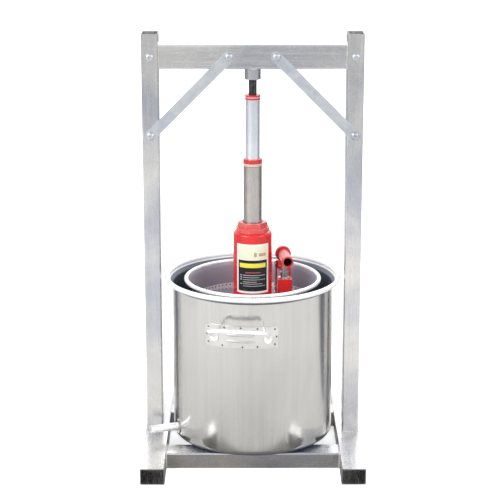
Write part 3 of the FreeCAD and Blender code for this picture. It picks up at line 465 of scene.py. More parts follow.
# This steel is near-white and only half metallic, so it looks bright under any light: a painted highlight for
# the rolled rims, the spout pipe and the handles.
highlight_steel = metal_finish("highlight_white_steel", (0.90, 0.90, 0.895, 1), (0.82, 0.82, 0.82, 1), (0.22, 0.34),
                          grain_scale=60.0, grain_depth=0.005, patch_scale=10.0, dust=0.05,
                          metallic=RIM_METALLIC)
chrome_ram = metal_finish("chromed_ram", (0.88, 0.91, 0.95, 1), (0.78, 0.81, 0.87, 1), (0.06, 0.14), ALONG_Z,
                          grain_scale=90.0, grain_depth=0.004, patch_scale=20.0, dust=0.0, metallic=0.85)
ground_steel = metal_finish("ground_steel", (0.54, 0.515, 0.495, 1), (0.42, 0.405, 0.395, 1),
                            (0.22, 0.36), ALONG_Z, grain_scale=110.0, grain_depth=0.012, patch_scale=18.0,
                            dust=0.0)
black_screw = metal_finish("oiled_black_steel", (0.075, 0.075, 0.080, 1), (0.030, 0.030, 0.034, 1),
                           (0.24, 0.42), grain_scale=150.0, grain_depth=0.02, patch_scale=60.0,
                           edge_colour=(0.30, 0.30, 0.31, 1), edge_amount=0.8, dust=0.1)
print("metal finishes for the frame, the pot, the basket, the rams and the screw ready")


# %% Paint, rubber and print
# BORE_SHADE_DARK is painted shade: the near-black inside of the lever socket's hole.
PAINT_DUST, BORE_SHADE_DARK = (0.62, 0.58, 0.54, 1), (0.035, 0.020, 0.020, 1)


def coated_finish(name, light, dark, roughness, coat=0.0, edge_colour=None, edge_amount=0.5,
                  patch_scale=30.0, peel=0.0, peel_scale=400.0, dust=0.1, bands=(), bore=None,
                  specular=0.5):
    """Paint, rubber or print: a colour that drifts a little, with worn edges and dust.

    bands are coloured belts, each given by its lower and upper level; bore paints a hole's
    inside near-black, a painted shade.
    """
    material = bpy.data.materials.new(name)
    material.use_nodes = True
    tree = material.node_tree
    shader = tree.nodes["Principled BSDF"]
    place = object_place(tree)
    marks = use_group(tree, handling_marks, {"Place": place, "Scale": patch_scale})
    dusty = use_group(tree, settled_dust, {"Place": place, "Amount": dust})
    colour = blend(tree, marks.outputs["Smudges"], light, dark)
    level = add_node(tree, "ShaderNodeSeparateXYZ", {"Vector": place}).outputs["Z"]
    for low, high, belt_colour in bands:
        colour = blend(tree, between(tree, level, low, high, 0.0002), colour, belt_colour)
    if edge_colour:
        edges = use_group(tree, worn_edges, {"Place": place, "Width": EDGE_WIDTH, "Amount": edge_amount})
        colour = blend(tree, edges.outputs["Edges"], colour, edge_colour)
    colour = blend(tree, dusty.outputs["Dust"], colour, PAINT_DUST)
    if bore:
        hollow = use_group(tree, inside_bore, {"Place": place, **bore}).outputs["Inside"]
        # Painted shade inside the hole.
        colour = blend(tree, hollow, colour, BORE_SHADE_DARK)
    tree.links.new(colour, shader.inputs["Base Color"])
    rough = ramp(tree, marks.outputs["Smudges"], 0.0, 1.0, roughness[0], roughness[1])
    rough = combine(tree, "ADD", rough, combine(tree, "MULTIPLY", marks.outputs["Scratches"], 0.15))
    tree.links.new(rough, shader.inputs["Roughness"])
    shader.inputs["Coat Weight"].default_value = coat
    shader.inputs["Specular IOR Level"].default_value = specular
    shader.inputs["Coat Roughness"].default_value = 0.08
    if peel:
        waves = add_node(tree, "ShaderNodeTexNoise", {"Vector": place, "Scale": peel_scale, "Detail": 2.0})
        bump = add_node(tree, "ShaderNodeBump", {"Height": waves.outputs["Fac"], "Strength": 0.4,
                                                "Distance": peel * MM})
        tree.links.new(bump.outputs["Normal"], shader.inputs["Normal"])
    return material


# RED_WEAR_AND_HIGHLIGHT is the lighter red laid on the paint's corners by the worn-edge mask: partly worn
# paint, partly a painted highlight along the edges.
RED_LIGHT, RED_DARK, RED_WEAR_AND_HIGHLIGHT = (0.66, 0.012, 0.012, 1), (0.54, 0.008, 0.010, 1), (0.88, 0.22, 0.20, 1)
RING_LIGHT, RING_DARK = (0.54, 0.030, 0.034, 1), (0.44, 0.020, 0.024, 1)
PUMP_OFFSET, PUMP_TURNED = 0.067, math.radians(7)
SOCKET_LEVEL, SOCKET_BORE = 0.415, 0.00885
BELT_BEIGE, COLLAR_BEIGE, COLLAR_LINE = (0.54, 0.36, 0.36, 1), (0.58, 0.43, 0.37, 1), (0.16, 0.13, 0.11, 1)
RED_ENAMEL = {"roughness": (0.26, 0.38), "edge_colour": RED_WEAR_AND_HIGHLIGHT, "peel": 0.03, "dust": 0.05}
LABEL_FILM = {"roughness": (0.30, 0.42), "coat": 0.3, "dust": 0.0}
red_paint = coated_finish("red_enamel", RED_LIGHT, RED_DARK, coat=0.2, **RED_ENAMEL)
# The nut's corners are drawn pale pink through the worn-edge mask: a painted highlight, a light line along
# its edges.
red_nut = coated_finish("red_enamel_nut", (0.62, 0.080, 0.070, 1), (0.52, 0.045, 0.042, 1), (0.26, 0.38),
                        coat=0.4, edge_colour=(0.94, 0.62, 0.58, 1), edge_amount=1.0, peel=0.03, dust=0.05)
socket_bore = {
    "Point": (PUMP_OFFSET * math.cos(PUMP_TURNED), PUMP_OFFSET * math.sin(PUMP_TURNED), SOCKET_LEVEL),
    "Axis": (math.sin(PUMP_TURNED), -math.cos(PUMP_TURNED), 0), "Radius": SOCKET_BORE}
red_socket = coated_finish("red_enamel_socket", RED_LIGHT, RED_DARK, coat=0.5, bore=socket_bore, **RED_ENAMEL)
ring_low, ring_high = (corner.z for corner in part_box("upper_ram_ring"))
belt_low = ring_low + 0.35 * (ring_high - ring_low)
belt_high = ring_low + 0.66 * (ring_high - ring_low)
red_ring = coated_finish("red_enamel_ring", RING_LIGHT, RING_DARK, coat=0.2,
                         bands=[(belt_low, belt_high, BELT_BEIGE)], **RED_ENAMEL)
collar_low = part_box("lower_ram_collar")[0].z
red_collar = coated_finish("red_enamel_collar", RING_LIGHT, RING_DARK, coat=0.2, bands=[
    (collar_low - 0.001, collar_low + 0.0065, COLLAR_BEIGE),
    (collar_low - 0.001, collar_low + 0.0012, COLLAR_LINE)], **RED_ENAMEL)
seal_rubber = coated_finish("seal_rubber", (0.030, 0.030, 0.032, 1), (0.018, 0.018, 0.020, 1), (0.55, 0.75),
                            peel=0.02, peel_scale=900.0)
label_cream = coated_finish("label_cream", (0.76, 0.735, 0.55, 1), (0.70, 0.72, 0.55, 1), (0.30, 0.42),
                            coat=0.2, patch_scale=14.0, dust=0.0)
label_white = coated_finish("label_white", (0.86, 0.85, 0.82, 1), (0.80, 0.79, 0.76, 1), **LABEL_FILM)
label_black = coated_finish("label_black", (0.018, 0.018, 0.021, 1), (0.030, 0.030, 0.034, 1), (0.45, 0.55),
                            dust=0.0, specular=0.2)
label_yellow = coated_finish("label_yellow", (0.82, 0.72, 0.05, 1), (0.70, 0.66, 0.08, 1), **LABEL_FILM)
label_rust = coated_finish("label_rust", (0.45, 0.09, 0.07, 1), (0.36, 0.08, 0.07, 1), **LABEL_FILM)
label_grey = coated_finish("label_grey", (0.48, 0.48, 0.47, 1), (0.40, 0.40, 0.40, 1), **LABEL_FILM)
label_brown = coated_finish("label_brown", (0.50, 0.34, 0.22, 1), (0.42, 0.30, 0.20, 1), **LABEL_FILM)
print("coated finishes ready")

# %% [markdown]
# ## Give the measured parts their finishes
# Most of the parts already have the right shape: tubes, braces, bolts, castings and rams. They only
# need a finish, which goes into their material slots. The grain of a tube follows its length.

# %% Dress the measured parts
FINISHES = [
    (frame_along_y, ["left_foot", "right_foot"]),
    (frame_along_x, ["front_rail", "rear_rail", "top_beam"]),
    (frame_along_z, ["left_post", "right_post", "ram_cup"]),
    (zinc_plate, ["left_brace", "right_brace", "beam_bolts", "brace_lower_bolts", "brace_upper_bolts",
                  "bolt_washers", "bolt_nuts"]),
    (pot_steel, ["pot_shell", "spout_flange"]),
    (plate_steel, ["front_handle_plate", "rear_handle_plate"]),
    (highlight_steel, ["spout_pipe", "front_handle", "rear_handle"]),
    (basket_steel, ["basket_wall", "basket_floor", "basket_feet", "press_plate", "jack_guides"]),
    (red_paint, ["jack_base", "reservoir_tube", "lever_links"]),
    (red_nut, ["top_nut"]),
    (red_socket, ["lever_socket"]),
    (red_ring, ["upper_ram_ring"]),
    (red_collar, ["lower_ram_collar"]),
    (chrome_ram, ["upper_ram"]),
    (ground_steel, ["lower_ram", "pump_plunger", "plunger_pin", "pressure_cylinder", "pump_sleeve",
                    "fulcrum_pin", "link_foot_pin", "valve_plugs", "valve_balls", "delivery_spring",
                    "release_valve"]),
    (black_screw, ["extension_screw"]),
    (seal_rubber, ["lower_ram_seal", "upper_ram_seal", "nut_wiper", "cylinder_gasket", "pump_seal",
                   "filler_plug"]),
    (label_cream, ["jack_label"]),
]
for finish, names in FINISHES:
    for name in names:
        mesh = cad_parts[name].data
        mesh.materials.clear()
        mesh.materials.append(finish)
print("dressed", sum(len(names) for _, names in FINISHES), "of", len(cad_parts), "parts")

# %% [markdown]
# ## Pieces that follow a rule
# Holes in a sheet, ripples in a weld and rows of spot welds repeat, so Geometry Nodes make them. Each
# tree below is a rule with named sizes. This helper runs a tree once, keeps the result as a plain
# mesh and lets it ride on its body.


# %% Run a rule once
def put_in_scene(name, mesh, body):
    piece = bpy.data.objects.new(name, mesh)
    bpy.context.scene.collection.objects.link(piece)
    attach(piece, body)
    return piece


def grow(name, start_mesh, tree, sizes):
    """Run a Geometry Nodes tree on a mesh and give back the plain result."""
    maker = bpy.data.objects.new(name + "_maker", start_mesh)
    bpy.context.scene.collection.objects.link(maker)
    rule = maker.modifiers.new("rule", "NODES")
    rule.node_group = tree
    for item in tree.interface.items_tree:
        if item.item_type == "SOCKET" and item.in_out == "INPUT" and item.name in sizes:
            rule[item.identifier] = sizes[item.name]
    graph = bpy.context.evaluated_depsgraph_get()
    grown = bpy.data.meshes.new_from_object(maker.evaluated_get(graph))
    grown.name = name
    maker.modifiers.clear()
    bpy.data.objects.remove(maker)
    return grown


def keep_mesh(work, name):
    """Write drawn faces to a new mesh and let go of the working copy."""
    mesh = bpy.data.meshes.new(name)
    work.to_mesh(mesh)
    work.free()
    return mesh


def round_angles(count):
    """Angles spaced evenly round a full turn."""
    return [2 * math.pi * i / count for i in range(count)]


def new_rule(name, sockets):
    """Start a Geometry Nodes tree with a geometry input and output and named sizes."""
    tree = bpy.data.node_groups.new(name, "GeometryNodeTree")
    tree.interface.new_socket("Geometry", in_out="INPUT", socket_type="NodeSocketGeometry")
    for label, kind, value in sockets:
        socket = tree.interface.new_socket(label, in_out="INPUT", socket_type=kind)
        if value is not None:
            socket.default_value = value
    tree.interface.new_socket("Geometry", in_out="OUTPUT", socket_type="NodeSocketGeometry")
    return tree, tree.nodes.new("NodeGroupInput"), tree.nodes.new("NodeGroupOutput")


def end_rule(tree, geometry, material, result):
    real = add_node(tree, "GeometryNodeRealizeInstances", {"Geometry": geometry})
    dressed = add_node(tree, "GeometryNodeSetMaterial", {"Geometry": real.outputs[0], "Material": material})
    tree.links.new(dressed.outputs[0], result.inputs["Geometry"])


def sharpen(mesh, degrees=35.0):
    """Shade the mesh smooth, but keep every edge that turns more than this sharp."""
    work = bmesh.new()
    work.from_mesh(mesh)
    for face in work.faces:
        face.smooth = True
    for edge in work.edges:
        edge.smooth = len(edge.link_faces) == 2 and edge.calc_face_angle(math.pi) < math.radians(degrees)
    work.to_mesh(mesh)
    work.free()
    return mesh


print("rule helpers ready")

# %% [markdown]
# ## The perforated basket
# The basket's wall is a steel sheet punched with rows of small round holes, rolled into a tube. One
# tile with one hole is filled once and set on a flat grid; bending the grid round the axis gives the
# tube. Cutting thousands of holes with booleans would be slow and leave a poor mesh.

# %% The rule for a punched sheet
BASKET_OUTER = 0.132
BASKET_WALL = 0.001
HOLE_COLUMNS, HOLE_ROWS = 92, 27
HOLE_PITCH = 2 * math.pi * BASKET_OUTER / HOLE_COLUMNS
HOLE_RADIUS = 0.0020
PUNCHED_FROM = 0.080
WELD_GAP = 0.00002


def build_punched_sheet():
    """Fill a tile with a hole, repeat it on a grid and roll the grid round the axis."""
    tree, given, result = new_rule("punched_sheet", [
        ("Columns", "NodeSocketInt", HOLE_COLUMNS), ("Rows", "NodeSocketInt", HOLE_ROWS),
        ("Pitch", "NodeSocketFloat", HOLE_PITCH), ("Hole Radius", "NodeSocketFloat", HOLE_RADIUS),
        ("Bend Radius", "NodeSocketFloat", BASKET_OUTER), ("Lift", "NodeSocketFloat", PUNCHED_FROM),
        ("Finish", "NodeSocketMaterial", None)])
    pitch = given.outputs["Pitch"]
    bend = given.outputs["Bend Radius"]
    border = add_node(tree, "GeometryNodeCurvePrimitiveQuadrilateral", {"Width": pitch, "Height": pitch})
    hole = add_node(tree, "GeometryNodeCurvePrimitiveCircle", {
        "Resolution": 10, "Radius": given.outputs["Hole Radius"]}, mode="RADIUS")
    outline = add_node(tree, "GeometryNodeJoinGeometry")
    tree.links.new(border.outputs[0], outline.inputs[0])
    tree.links.new(hole.outputs[0], outline.inputs[0])
    tile = add_node(tree, "GeometryNodeFillCurve", {"Curve": outline.outputs[0]}, mode="TRIANGLES")
    across = combine(tree, "MULTIPLY", pitch, combine(tree, "SUBTRACT", given.outputs["Columns"], 1.0))
    upward = combine(tree, "MULTIPLY", pitch, combine(tree, "SUBTRACT", given.outputs["Rows"], 1.0))
    places = add_node(tree, "GeometryNodeMeshGrid", {
        "Size X": across, "Size Y": upward, "Vertices X": given.outputs["Columns"],
        "Vertices Y": given.outputs["Rows"]})
    tiles = add_node(tree, "GeometryNodeInstanceOnPoints", {
        "Points": places.outputs["Mesh"], "Instance": tile.outputs[0]})
    flat = add_node(tree, "GeometryNodeRealizeInstances", {"Geometry": tiles.outputs[0]})
    here = add_node(tree, "ShaderNodeSeparateXYZ", {
        "Vector": add_node(tree, "GeometryNodeInputPosition").outputs[0]})
    turn = combine(tree, "DIVIDE", here.outputs["X"], bend)
    half_height = combine(tree, "MULTIPLY", combine(tree, "ADD", upward, pitch), 0.5)
    middle = combine(tree, "ADD", given.outputs["Lift"], half_height)
    rolled = add_node(tree, "ShaderNodeCombineXYZ", {
        "X": combine(tree, "MULTIPLY", combine(tree, "SINE", turn, 0.0), bend),
        "Y": combine(tree, "MULTIPLY", combine(tree, "COSINE", turn, 0.0),
                     combine(tree, "MULTIPLY", bend, -1.0)),
        "Z": combine(tree, "ADD", here.outputs["Y"], middle)})
    bent = add_node(tree, "GeometryNodeSetPosition", {
        "Geometry": flat.outputs[0], "Position": rolled.outputs[0]})
    sealed = add_node(tree, "GeometryNodeMergeByDistance", {
        "Geometry": bent.outputs[0], "Distance": WELD_GAP})
    end_rule(tree, sealed.outputs[0], given.outputs["Finish"], result)
    return tree


punched_rule = build_punched_sheet()
print("holes:", HOLE_COLUMNS * HOLE_ROWS, "pitch in mm:", round(HOLE_PITCH / MM, 2))

# %% Roll the basket's wall
punched = grow("punched_wall", bpy.data.meshes.new("basket_start"), punched_rule, {
    "Columns": HOLE_COLUMNS, "Rows": HOLE_ROWS, "Pitch": HOLE_PITCH, "Hole Radius": HOLE_RADIUS,
    "Bend Radius": BASKET_OUTER, "Lift": PUNCHED_FROM, "Finish": basket_steel})
basket_low, basket_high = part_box("basket_wall")
RIM_RADIUS = 0.0045
BASKET_FLARE, FLARE_DROP = 0.0035, 0.008
rim_level = basket_high.z - RIM_RADIUS
rim_centre = basket_high.x - RIM_RADIUS
lip_level = rim_level - RIM_RADIUS / 2
punched_to = PUNCHED_FROM + HOLE_ROWS * HOLE_PITCH


def ring_of(work, radius, level, count, shift=0.0):
    """Points on a level circle, starting straight ahead."""
    return [work.verts.new((radius * math.sin(2 * math.pi * (i + shift) / count),
                            -radius * math.cos(2 * math.pi * (i + shift) / count), level))
            for i in range(count)]


def band(work, lower, upper):
    """Faces between two rings of points, facing outwards."""
    count = len(lower)
    for i in range(count):
        j = (i + 1) % count
        work.faces.new((lower[i], lower[j], upper[j], upper[i]))


below_holes = [(BASKET_OUTER, basket_low.z), (BASKET_OUTER, PUNCHED_FROM)]
above_holes = [(BASKET_OUTER, punched_to), (BASKET_OUTER, lip_level - FLARE_DROP),
               (BASKET_OUTER + BASKET_FLARE, lip_level)]
half_step = 0.5 * (HOLE_COLUMNS % 2 == 0)
sheet = bmesh.new()
sheet.from_mesh(punched)
for profile in (below_holes, above_holes):
    rings = [ring_of(sheet, radius, level, HOLE_COLUMNS, half_step) for radius, level in profile]
    for lower, upper in zip(rings, rings[1:]):
        band(sheet, lower, upper)
bmesh.ops.remove_doubles(sheet, verts=sheet.verts, dist=0.00005)
for face in sheet.faces:
    middle = face.calc_center_median()
    if face.normal.x * middle.x + face.normal.y * middle.y < 0:
        face.normal_flip()
wall_mesh = keep_mesh(sheet, "punched_basket")
wall_mesh.materials.append(basket_steel)
shell = bpy.data.objects.new("basket_shell", wall_mesh)
bpy.context.scene.collection.objects.link(shell)
thick = shell.modifiers.new("thick", "SOLIDIFY")
thick.thickness = BASKET_WALL
thick.offset = -1.0
solid = bpy.data.meshes.new_from_object(shell.evaluated_get(bpy.context.evaluated_depsgraph_get()))
shell.modifiers.clear()
bpy.data.objects.remove(shell)
print("basket wall:", len(solid.polygons), "faces, closed by its", BASKET_WALL / MM, "mm thickness")


# %% Add its rolled rim
def torus(work, ring_radius, tube_radius, level, around=144, across=20, material=0):
    """A closed round rim, lying flat."""
    loops = []
    for k in range(across):
        angle = 2 * math.pi * k / across
        loops.append(ring_of(work, ring_radius + tube_radius * math.cos(angle),
                             level + tube_radius * math.sin(angle), around))
    first = len(work.faces)
    for k in range(across):
        band(work, loops[k], loops[(k + 1) % across])
    work.faces.ensure_lookup_table()
    for face in work.faces[first:]:
        face.material_index = material


rimmed = bmesh.new()
rimmed.from_mesh(solid)
torus(rimmed, rim_centre, RIM_RADIUS, rim_level, material=1)
basket_mesh = keep_mesh(rimmed, "punched_basket_wall")
basket_mesh.materials.append(basket_steel)
basket_mesh.materials.append(highlight_steel)
punched_basket = put_in_scene("punched_basket", sharpen(basket_mesh), "pot")
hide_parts("basket_wall")
print("basket:", len(basket_mesh.polygons), "faces")

# %% [markdown]
# ## The printed label
# The sticker is a white sheet with a cream field, a black panel, a yellow band and a few thin lines.
# The lines stand for small print: they are plain bars, with no letters. Each patch is a thin curved
# slab, so the pattern needs no picture. The slabs stand out from each other by 0.03 mm.

# %% Wrap the label
LABEL_OUTER = 0.0406
FILM_STEP = 0.00003
SHEET_DEPTH, PATCH_DEPTH = 0.0003, 0.00005
SLAB_STEP = 3  # degrees


def curved_slab(work, inner, outer, from_angle, to_angle, bottom, top, material):
    """A slab wrapped round the jack; angles in degrees, 0 straight ahead."""
    steps = max(2, int(abs(to_angle - from_angle) / SLAB_STEP))
    columns = []
    for i in range(steps + 1):
        angle = math.radians(from_angle + (to_angle - from_angle) * i / steps)
        sine, cosine = math.sin(angle), -math.cos(angle)
        columns.append([work.verts.new((r * sine, r * cosine, z))
                        for r, z in ((inner, bottom), (outer, bottom), (outer, top), (inner, top))])
    faces = [work.faces.new(columns[0]), work.faces.new(columns[-1][::-1])]
    for a, b in zip(columns, columns[1:]):
        for k in range(4):
            faces.append(work.faces.new((a[k], b[k], b[(k + 1) % 4], a[(k + 1) % 4])))
    for face in faces:
        face.material_index = material


label_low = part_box("jack_label")[0]
LABEL_PATCHES = [  # from and to angle, bottom and top above the label's lower edge in mm, finish
    (-52.5, 52.5, 0.0, 105.0, 0), (-48.5, 48.5, 72.0, 101.5, 1), (-46.0, 46.0, 4.5, 71.0, 2),
    (-41.0, 41.0, 55.0, 64.5, 3), (-22.0, 24.0, 43.5, 45.6, 4),
    (-39.0, -33.0, 37.6, 39.6, 5), (-30.0, 38.0, 38.0, 39.4, 5), (-39.0, -33.0, 33.0, 35.0, 5),
    (-30.0, 20.0, 33.4, 34.6, 5), (-39.0, -33.0, 28.4, 30.4, 5), (-30.0, 40.0, 28.8, 30.0, 5),
    (-30.0, 12.0, 24.0, 25.2, 5), (-39.0, -33.0, 19.4, 21.4, 5), (-30.0, 30.0, 19.8, 21.0, 5),
    (-30.0, 39.0, 15.2, 16.4, 5), (4.0, 12.0, 78.5, 87.5, 6), (18.0, 41.0, 79.5, 86.0, 6),
]
print_layers = bmesh.new()
for from_angle, to_angle, bottom, top, finish in LABEL_PATCHES:
    layer = (0, 1, 1, 2, 2, 2, 2)[finish]
    depth = SHEET_DEPTH if layer == 0 else PATCH_DEPTH
    curved_slab(print_layers, LABEL_OUTER - depth, LABEL_OUTER + layer * FILM_STEP, from_angle, to_angle,
                label_low.z + bottom * MM, label_low.z + top * MM, finish)
bmesh.ops.recalc_face_normals(print_layers, faces=print_layers.faces)
label_mesh = keep_mesh(print_layers, "printed_label")
for finish in (label_white, label_cream, label_black, label_yellow, label_rust, label_grey, label_brown):
    label_mesh.materials.append(finish)
printed_label = put_in_scene("printed_label", sharpen(label_mesh), "press_head")
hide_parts("jack_label")
print("label patches:", len(LABEL_PATCHES))

# %% [markdown]
# ## The threaded extension screw
# The black screw on top of the upper ram has a coarse thread. A thread is a rule: the radius depends
# on the height and the angle, and one turn lifts the pattern by one pitch. The screw is a grid of
# points wrapped round the axis whose radius follows that rule, which stays closed and clean.

# %% Cut the thread
THREAD_PITCH, THREAD_DEPTH = 0.0025, 0.0011
SHANK_RADIUS = 0.00875
HEAD_HEIGHT, HEAD_CHAMFER = 0.012, 0.0012
THREAD_COLUMNS, ROWS_PER_TURN = 32, 8
THREAD_RUNOUT, SHANK_NECK = 0.002, 0.004
screw_low, screw_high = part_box("extension_screw")
head_radius = screw_high.x
head_bottom = screw_high.z - HEAD_HEIGHT
thread_end = head_bottom - SHANK_NECK


def thread_radius(level, angle):
    """Radius of the shank: a ridge that climbs one pitch in a turn and runs out at both ends."""
    phase = (level / THREAD_PITCH - angle / (2 * math.pi)) % 1.0
    ridge = min(1.0, max(0.0, 1.6 * abs(2 * phase - 1) - 0.3))
    fade = min(1.0, max(0.0, (thread_end - level) / THREAD_RUNOUT),
               max(0.0, (level - screw_low.z) / THREAD_RUNOUT))
    return SHANK_RADIUS - THREAD_DEPTH * fade * (1 - ridge)


shank = bmesh.new()
rows = []
count = int((thread_end - screw_low.z) / THREAD_PITCH * ROWS_PER_TURN)
for k in range(count + 1):
    level = screw_low.z + (thread_end - screw_low.z) * k / count
    rows.append([shank.verts.new((thread_radius(level, angle) * math.sin(angle),
                                  -thread_radius(level, angle) * math.cos(angle), level))
                 for angle in round_angles(THREAD_COLUMNS)])
for radius, level in ((SHANK_RADIUS, head_bottom), (head_radius - HEAD_CHAMFER, head_bottom),
                      (head_radius, head_bottom + HEAD_CHAMFER),
                      (head_radius, screw_high.z - HEAD_CHAMFER),
                      (head_radius - HEAD_CHAMFER, screw_high.z)):
    rows.append(ring_of(shank, radius, level, THREAD_COLUMNS))
for lower, upper in zip(rows, rows[1:]):
    band(shank, lower, upper)
shank.faces.new(rows[0][::-1])
shank.faces.new(rows[-1])
screw_mesh = keep_mesh(shank, "threaded_screw")
screw_mesh.materials.append(black_screw)
threaded_screw = put_in_scene("threaded_screw", sharpen(screw_mesh, 50.0), "screw")
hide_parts("extension_screw")
print("thread turns:", round((thread_end - screw_low.z) / THREAD_PITCH, 1))

# %% [markdown]
# ## Weld beads
# The frame is welded where tubes meet, and the cup for the screw's head is welded under the beam. The
# handles and the spout are welded to the pot. A bead is a row of small overlapping ripples. The rule
# turns a drawn path into a curve, spaces points along it and sets a squashed drop on each, a little
# different in size every time.

# %% The rule for a weld bead
weld_steel = metal_finish("weld_steel", (0.72, 0.69, 0.64, 1), (0.46, 0.43, 0.42, 1), (0.26, 0.42),
                          grain_scale=200.0, patch_scale=60.0, edge_amount=0.0, dust=0.0)


def build_weld_bead():
    """Turn a path into a curve and set an uneven drop at each step along it."""
    tree, given, result = new_rule("weld_bead", [
        ("Spacing", "NodeSocketFloat", 0.0016), ("Bead Radius", "NodeSocketFloat", 0.0016),
        ("Seed", "NodeSocketInt", 4), ("Finish", "NodeSocketMaterial", None)])
    path = add_node(tree, "GeometryNodeMeshToCurve", {"Mesh": given.outputs["Geometry"]})
    steps = add_node(tree, "GeometryNodeResampleCurve", {
        "Curve": path.outputs[0], "Length": given.outputs["Spacing"]}, mode="LENGTH")
    ripple = add_node(tree, "GeometryNodeMeshIcoSphere", {
        "Radius": given.outputs["Bead Radius"], "Subdivisions": 2})
    uneven = add_node(tree, "FunctionNodeRandomValue", {
        "Seed": given.outputs["Seed"]}, data_type="FLOAT_VECTOR")
    uneven.inputs["Min"].default_value = (0.85, 0.85, 0.75)
    uneven.inputs["Max"].default_value = (1.15, 1.15, 1.0)
    ripples = add_node(tree, "GeometryNodeInstanceOnPoints", {
        "Points": steps.outputs[0], "Instance": ripple.outputs["Mesh"], "Scale": uneven.outputs["Value"]})
    real = add_node(tree, "GeometryNodeRealizeInstances", {"Geometry": ripples.outputs[0]})
    smooth = add_node(tree, "GeometryNodeSetShadeSmooth", {"Geometry": real.outputs[0]})
    end_rule(tree, smooth.outputs[0], given.outputs["Finish"], result)
    return tree


bead_rule = build_weld_bead()


def draw_paths(name, paths):
    """A mesh of edges only: each path is a list of points, closed or not."""
    points, edges = [], []
    for path, closed in paths:
        first = len(points)
        points += path
        edges += [(first + i, first + i + 1) for i in range(len(path) - 1)]
        if closed:
            edges.append((first + len(path) - 1, first))
    mesh = bpy.data.meshes.new(name)
    mesh.from_pydata(points, edges, [])
    return mesh


print("bead rule ready")

# %% Weld the frame
RAIL_LIP, RAIL_WELD_START = 0.002, 0.004
CUP_POINTS, FITTING_POINTS = 40, 28


def level_ring(low, high, level):
    """The four upright edges of a box, joined round at one level."""
    return [(low.x, low.y, level), (high.x, low.y, level), (high.x, high.y, level), (low.x, high.y, level)]


def over_rail(x, low, high):
    """Up one side of a rail, over its rounded top corners and down the other side."""
    start = low.z + RAIL_WELD_START
    return [(x, low.y, start), (x, low.y, high.z - RAIL_LIP), (x, low.y + RAIL_LIP, high.z),
            (x, high.y - RAIL_LIP, high.z), (x, high.y, high.z - RAIL_LIP), (x, high.y, start)]


frame_paths = []
for side in ("left", "right"):
    foot_low, foot_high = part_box(side + "_foot")
    post_low, post_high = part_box(side + "_post")
    frame_paths.append((level_ring(post_low, post_high, foot_high.z), True))
    joint_x = foot_high.x if side == "left" else foot_low.x
    for rail in ("front_rail", "rear_rail"):
        frame_paths.append((over_rail(joint_x, *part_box(rail)), False))
    beam_low, beam_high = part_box("top_beam")
    inside_x = post_high.x if side == "left" else post_low.x
    frame_paths.append(([(inside_x, beam_low.y, beam_low.z), (inside_x, beam_low.y, beam_high.z),
                         (inside_x, beam_high.y, beam_high.z), (inside_x, beam_high.y, beam_low.z)], True))
cup_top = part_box("ram_cup")[1]
cup_ring = [(cup_top.x * math.cos(angle), cup_top.x * math.sin(angle), cup_top.z)
            for angle in round_angles(CUP_POINTS)]
frame_paths.append((cup_ring, True))
frame_weld_mesh = grow("frame_welds", draw_paths("frame_weld_paths", frame_paths), bead_rule, {
    "Spacing": 0.0015, "Bead Radius": 0.0015, "Seed": 4, "Finish": weld_steel})
put_in_scene("frame_welds", frame_weld_mesh, "frame")
print("frame welds:", len(frame_paths), "joints,", len(frame_weld_mesh.polygons), "faces")

# %% Weld the pot's fittings
POT_TURNED = math.radians(-8.5)
POT_RADIUS, PLATE_THICKNESS, FLANGE_SKIN = 0.168, 0.0014, 0.170
PLATE_SKIN = POT_RADIUS + PLATE_THICKNESS
EAR_SIDE, EAR_RADIUS, EAR_LEVEL = 0.055, 0.0085, 0.2893
SPOUT_TURNED, SPOUT_LEVEL, SPOUT_RADIUS = math.radians(-70), 0.0603, 0.0083


def on_pot(aside, level, radius, turned):
    """A point on the pot's round wall, a distance aside from the direction `turned`."""
    depth = math.sqrt(radius ** 2 - aside ** 2)
    return (aside * math.cos(turned) + depth * math.sin(turned),
            aside * math.sin(turned) - depth * math.cos(turned), level)


def ring_on_pot(aside, level, radius, skin, turned):
    """A small circle drawn on the pot's wall."""
    return [on_pot(aside + radius * math.cos(angle), level + radius * math.sin(angle), skin, turned)
            for angle in round_angles(FITTING_POINTS)]


BOTH_SIDES = (POT_TURNED, POT_TURNED + math.pi)
pot_paths = [(ring_on_pot(ear, EAR_LEVEL, EAR_RADIUS, PLATE_SKIN, turned), True)
             for turned in BOTH_SIDES for ear in (-EAR_SIDE, EAR_SIDE)]
pot_paths.append((ring_on_pot(0.0, SPOUT_LEVEL, SPOUT_RADIUS, FLANGE_SKIN, SPOUT_TURNED), True))
pot_weld_mesh = grow("pot_welds", draw_paths("pot_weld_paths", pot_paths), bead_rule, {
    "Spacing": 0.0008, "Bead Radius": 0.0008, "Seed": 9, "Finish": weld_steel})
put_in_scene("pot_welds", pot_weld_mesh, "pot")
print("pot welds:", len(pot_paths), "rings,", len(pot_weld_mesh.polygons), "faces")

# %% Press the ridges in the handle plates
RIDGE_LEVELS, RIDGE_HALF_LENGTH = (0.0070, -0.0058), 0.030
RIDGE_HALF_HEIGHT, RIDGE_DEPTH = 0.0024, 0.0011
RIDGE_STEPS, RIDGE_COLUMNS = 24, 16


def ridge_ring(work, along, above_ear, turned):
    """One ring of points round a ridge, which thins out towards its ends."""
    swell = math.sqrt(max(0.02, 1 - along ** 6))
    return [work.verts.new(on_pot(
        RIDGE_HALF_LENGTH * along, EAR_LEVEL + above_ear + swell * RIDGE_HALF_HEIGHT * math.sin(angle),
        PLATE_SKIN + swell * RIDGE_DEPTH * math.cos(angle), turned)) for angle in round_angles(RIDGE_COLUMNS)]


